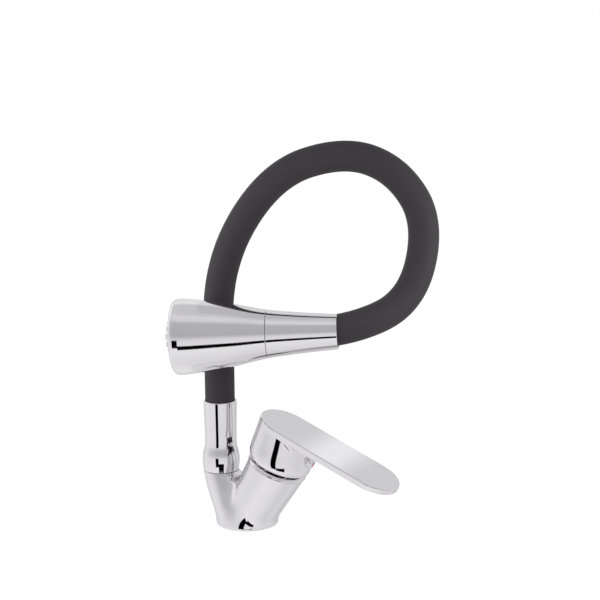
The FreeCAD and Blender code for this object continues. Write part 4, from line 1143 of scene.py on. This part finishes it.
# Lights close round the loop, so that the hose's outer side is lit and its inner side dim: place in the
# loop's own plane, in millimetres, and watts
LOOP_MIDDLE = (78.0, 12.0, 235.0)
SOFT_SIZE = 260.0
SOFT_LIGHTS = {
    "left_light": ((-280.0, 150.0, 280.0), 2.3),
    "right_light": ((440.0, 150.0, 280.0), 2.3),
    "front_light": ((90.0, 420.0, 400.0), 0.4),
}


class TAP_OT_stage(bpy.types.Operator):
    """Set the camera, the pale floor and the soft studio light"""
    bl_idname = "tap.stage"
    bl_label = "Stage"

    def execute(self, context):
        scene = context.scene
        scene.view_settings.view_transform = "Standard"
        self.camera(scene)
        self.floor()
        self.world(scene)
        self.light(scene, "key", "SUN", KEY_WAY, energy=scene.tap_stage.key_light, angle=KEY_SPREAD)
        for name, (corner, watts) in SOFT_LIGHTS.items():
            place = in_loop(*corner)
            light = self.light(scene, name, "AREA", in_loop(*LOOP_MIDDLE) - place, energy=watts,
                               size=SOFT_SIZE * MM)
            light.location = place
        return {"FINISHED"}

    @staticmethod
    def camera(scene):
        """Camera at the photograph's place, lens and roll."""
        data = bpy.data.cameras.new("camera")
        data.lens = CAMERA_LENS
        data.clip_start = 0.01
        camera = bpy.data.objects.new("camera", data)
        scene.collection.objects.link(camera)
        turn = (CAMERA_AIM - CAMERA_PLACE).to_track_quat("-Z", "Y").to_matrix().to_4x4()
        camera.matrix_world = (Matrix.Translation(CAMERA_PLACE) @ turn
                               @ Matrix.Rotation(CAMERA_ROLL, 4, "Z"))
        scene.camera = camera

    @staticmethod
    def floor():
        """Wide pale floor whose lit parts reach the white of the background."""
        leave_edit_mode()
        bpy.ops.mesh.primitive_plane_add(size=FLOOR_SIZE)
        floor = named(bpy.context.object, "studio_floor")
        material = bpy.data.materials.new("Studio_floor")
        graph = Graph(material)
        stops = [(place, (tint,) * 3) for place, tint in zip(NOISE_SPAN, FLOOR_TINTS)]
        paper = graph.ramp(graph.noise(60.0, 2.0), stops)
        matt = graph.node("BsdfPrincipled", {"Base Color": paper, "Roughness": FLOOR_ROUGHNESS,
                                             "Specular IOR Level": 0.0})
        glow = graph.node("Emission", {"Strength": FLOOR_GLOW})
        seen = graph.times(graph.node("LightPath").outputs["Is Camera Ray"], FLOOR_SHARE)
        blend = graph.node("MixShader", {"Fac": seen, 1: matt.outputs["BSDF"], 2: glow.outputs["Emission"]})
        graph.node("OutputMaterial", {"Surface": blend.outputs["Shader"]})
        floor.data.materials.append(material)
        floor.visible_glossy = False

    @staticmethod
    def light(scene, name, kind, way, **values):
        """Light that shines along a way, and that polished metal doesn't mirror."""
        data = bpy.data.lights.new(name, kind)
        for key, value in values.items():
            setattr(data, key, value)
        light = bpy.data.objects.new(name, data)
        scene.collection.objects.link(light)
        light.rotation_euler = way.to_track_quat("-Z", "Y").to_euler()
        light.visible_glossy = False
        return light

    @staticmethod
    def world(scene):
        """White background, even open light, and the studio that polished metal sees."""
        scene.world = bpy.data.worlds.new("studio")
        graph = Graph(scene.world)
        way = graph.node("TexCoord").outputs["Generated"]
        turned = graph.node("Mapping", {"Vector": way, "Rotation": (0, 0, -CAMERA_TURN)})
        split = graph.node("SeparateXYZ", {"Vector": turned.outputs["Vector"]}).outputs
        height = graph.times(graph.math("ARCSINE", split["Z"]), math.degrees(1))
        left = graph.times(graph.math("ARCTAN2", split["Y"], split["X"]), -math.degrees(1))
        share_up = graph.math("MULTIPLY_ADD", height, 1 / 180, 0.5)
        skies = [graph.ramp(share_up, [(degree / 180 + 0.5, (value,) * 3) for degree, value in sky])
                 for sky in (BACK_SKY, FRONT_SKY)]
        seen = graph.mix(graph.step(split["X"], -SKY_BLEND, SKY_BLEND), *skies)
        start, end, dark = RIGHT_FADE
        fade = graph.math("MULTIPLY_ADD", graph.step(left, start, end), -dark, 1.0)
        wall = graph.times(graph.window(left, WALL_SIDES), graph.window(height, WALL_HEIGHTS))
        shade = graph.math("MULTIPLY_ADD", wall, WALL_BRIGHT, 1.0)
        behind = graph.times(graph.step(graph.math("ABSOLUTE", left), *BEHIND_SIDES),
                             graph.window(height, BEHIND_HEIGHTS))
        shade = graph.math("MULTIPLY_ADD", behind, -BEHIND_DARK, shade)
        across, near = [graph.along(way, axis) for axis in (STRIP_ACROSS, STRIP_MIDDLE)]
        strip = graph.times(graph.window(across, (-STRIP_HALF, -STRIP_FLAT, STRIP_FLAT, STRIP_HALF)),
                            graph.step(near, *STRIP_ENDS))
        black = 0.0
        for sides, heights in PANELS:
            panel = graph.times(graph.window(left, sides), graph.window(height, heights))
            black = graph.math("MAXIMUM", panel, black)
        seen = graph.math("MULTIPLY_ADD", strip, STRIP_BRIGHT, graph.times(graph.times(seen, fade), shade))
        seen = graph.times(seen, graph.math("SUBTRACT", 1.0, black))
        rays = graph.node("LightPath").outputs
        sharp = graph.math("MAXIMUM", rays["Is Glossy Ray"], rays["Is Transmission Ray"])
        lit = graph.mix(sharp, scene.tap_stage.open_light, seen)
        final = graph.mix(rays["Is Camera Ray"], lit, 1.0)
        background = graph.node("Background", {"Color": (1, 1, 1, 1), "Strength": final})
        graph.node("OutputWorld", {"Surface": background.outputs["Background"]})


OPERATORS = (TAP_OT_stage, TAP_OT_fittings, TAP_OT_body, TAP_OT_collar, TAP_OT_cover_ring, TAP_OT_lever,
             TAP_OT_hose, TAP_OT_head, TAP_OT_spray_face)


class TAP_PT_tap(bpy.types.Panel):
    """The tap's pieces, sizes and finishes in the sidebar"""
    bl_idname = "TAP_PT_tap"
    bl_label = "Flexible kitchen tap"
    bl_space_type = "VIEW_3D"
    bl_region_type = "UI"
    bl_category = "Tap"

    def draw(self, context):
        layout = self.layout
        for group in (context.scene.tap_sizes, context.scene.tap_finishes, context.scene.tap_stage):
            for key in group.__annotations__:
                layout.prop(group, key)
        for operator in OPERATORS:
            layout.operator(operator.bl_idname)


GROUPS = (("tap_sizes", TapSizes), ("tap_finishes", TapFinishes), ("tap_stage", TapStage))


def register():
    """Adds the tap's settings, operators and panel."""
    for name, group in GROUPS:
        bpy.utils.register_class(group)
        setattr(bpy.types.Scene, name, bpy.props.PointerProperty(type=group))
    for each in OPERATORS + (TAP_PT_tap,):
        bpy.utils.register_class(each)


def unregister():
    """Takes them away again."""
    for each in reversed(OPERATORS + (TAP_PT_tap,)):
        bpy.utils.unregister_class(each)
    for name, group in reversed(GROUPS):
        delattr(bpy.types.Scene, name)
        bpy.utils.unregister_class(group)


def corners(box):
    """Box as plain lists of numbers."""
    return [[round(value, 6) for value in corner] for corner in box]


def main():
    """Builds every piece in order."""
    register()
    for operator in OPERATORS:
        group, name = operator.bl_idname.split(".")
        getattr(getattr(bpy.ops, group), name)()


if __name__ == "__main__":
    main()
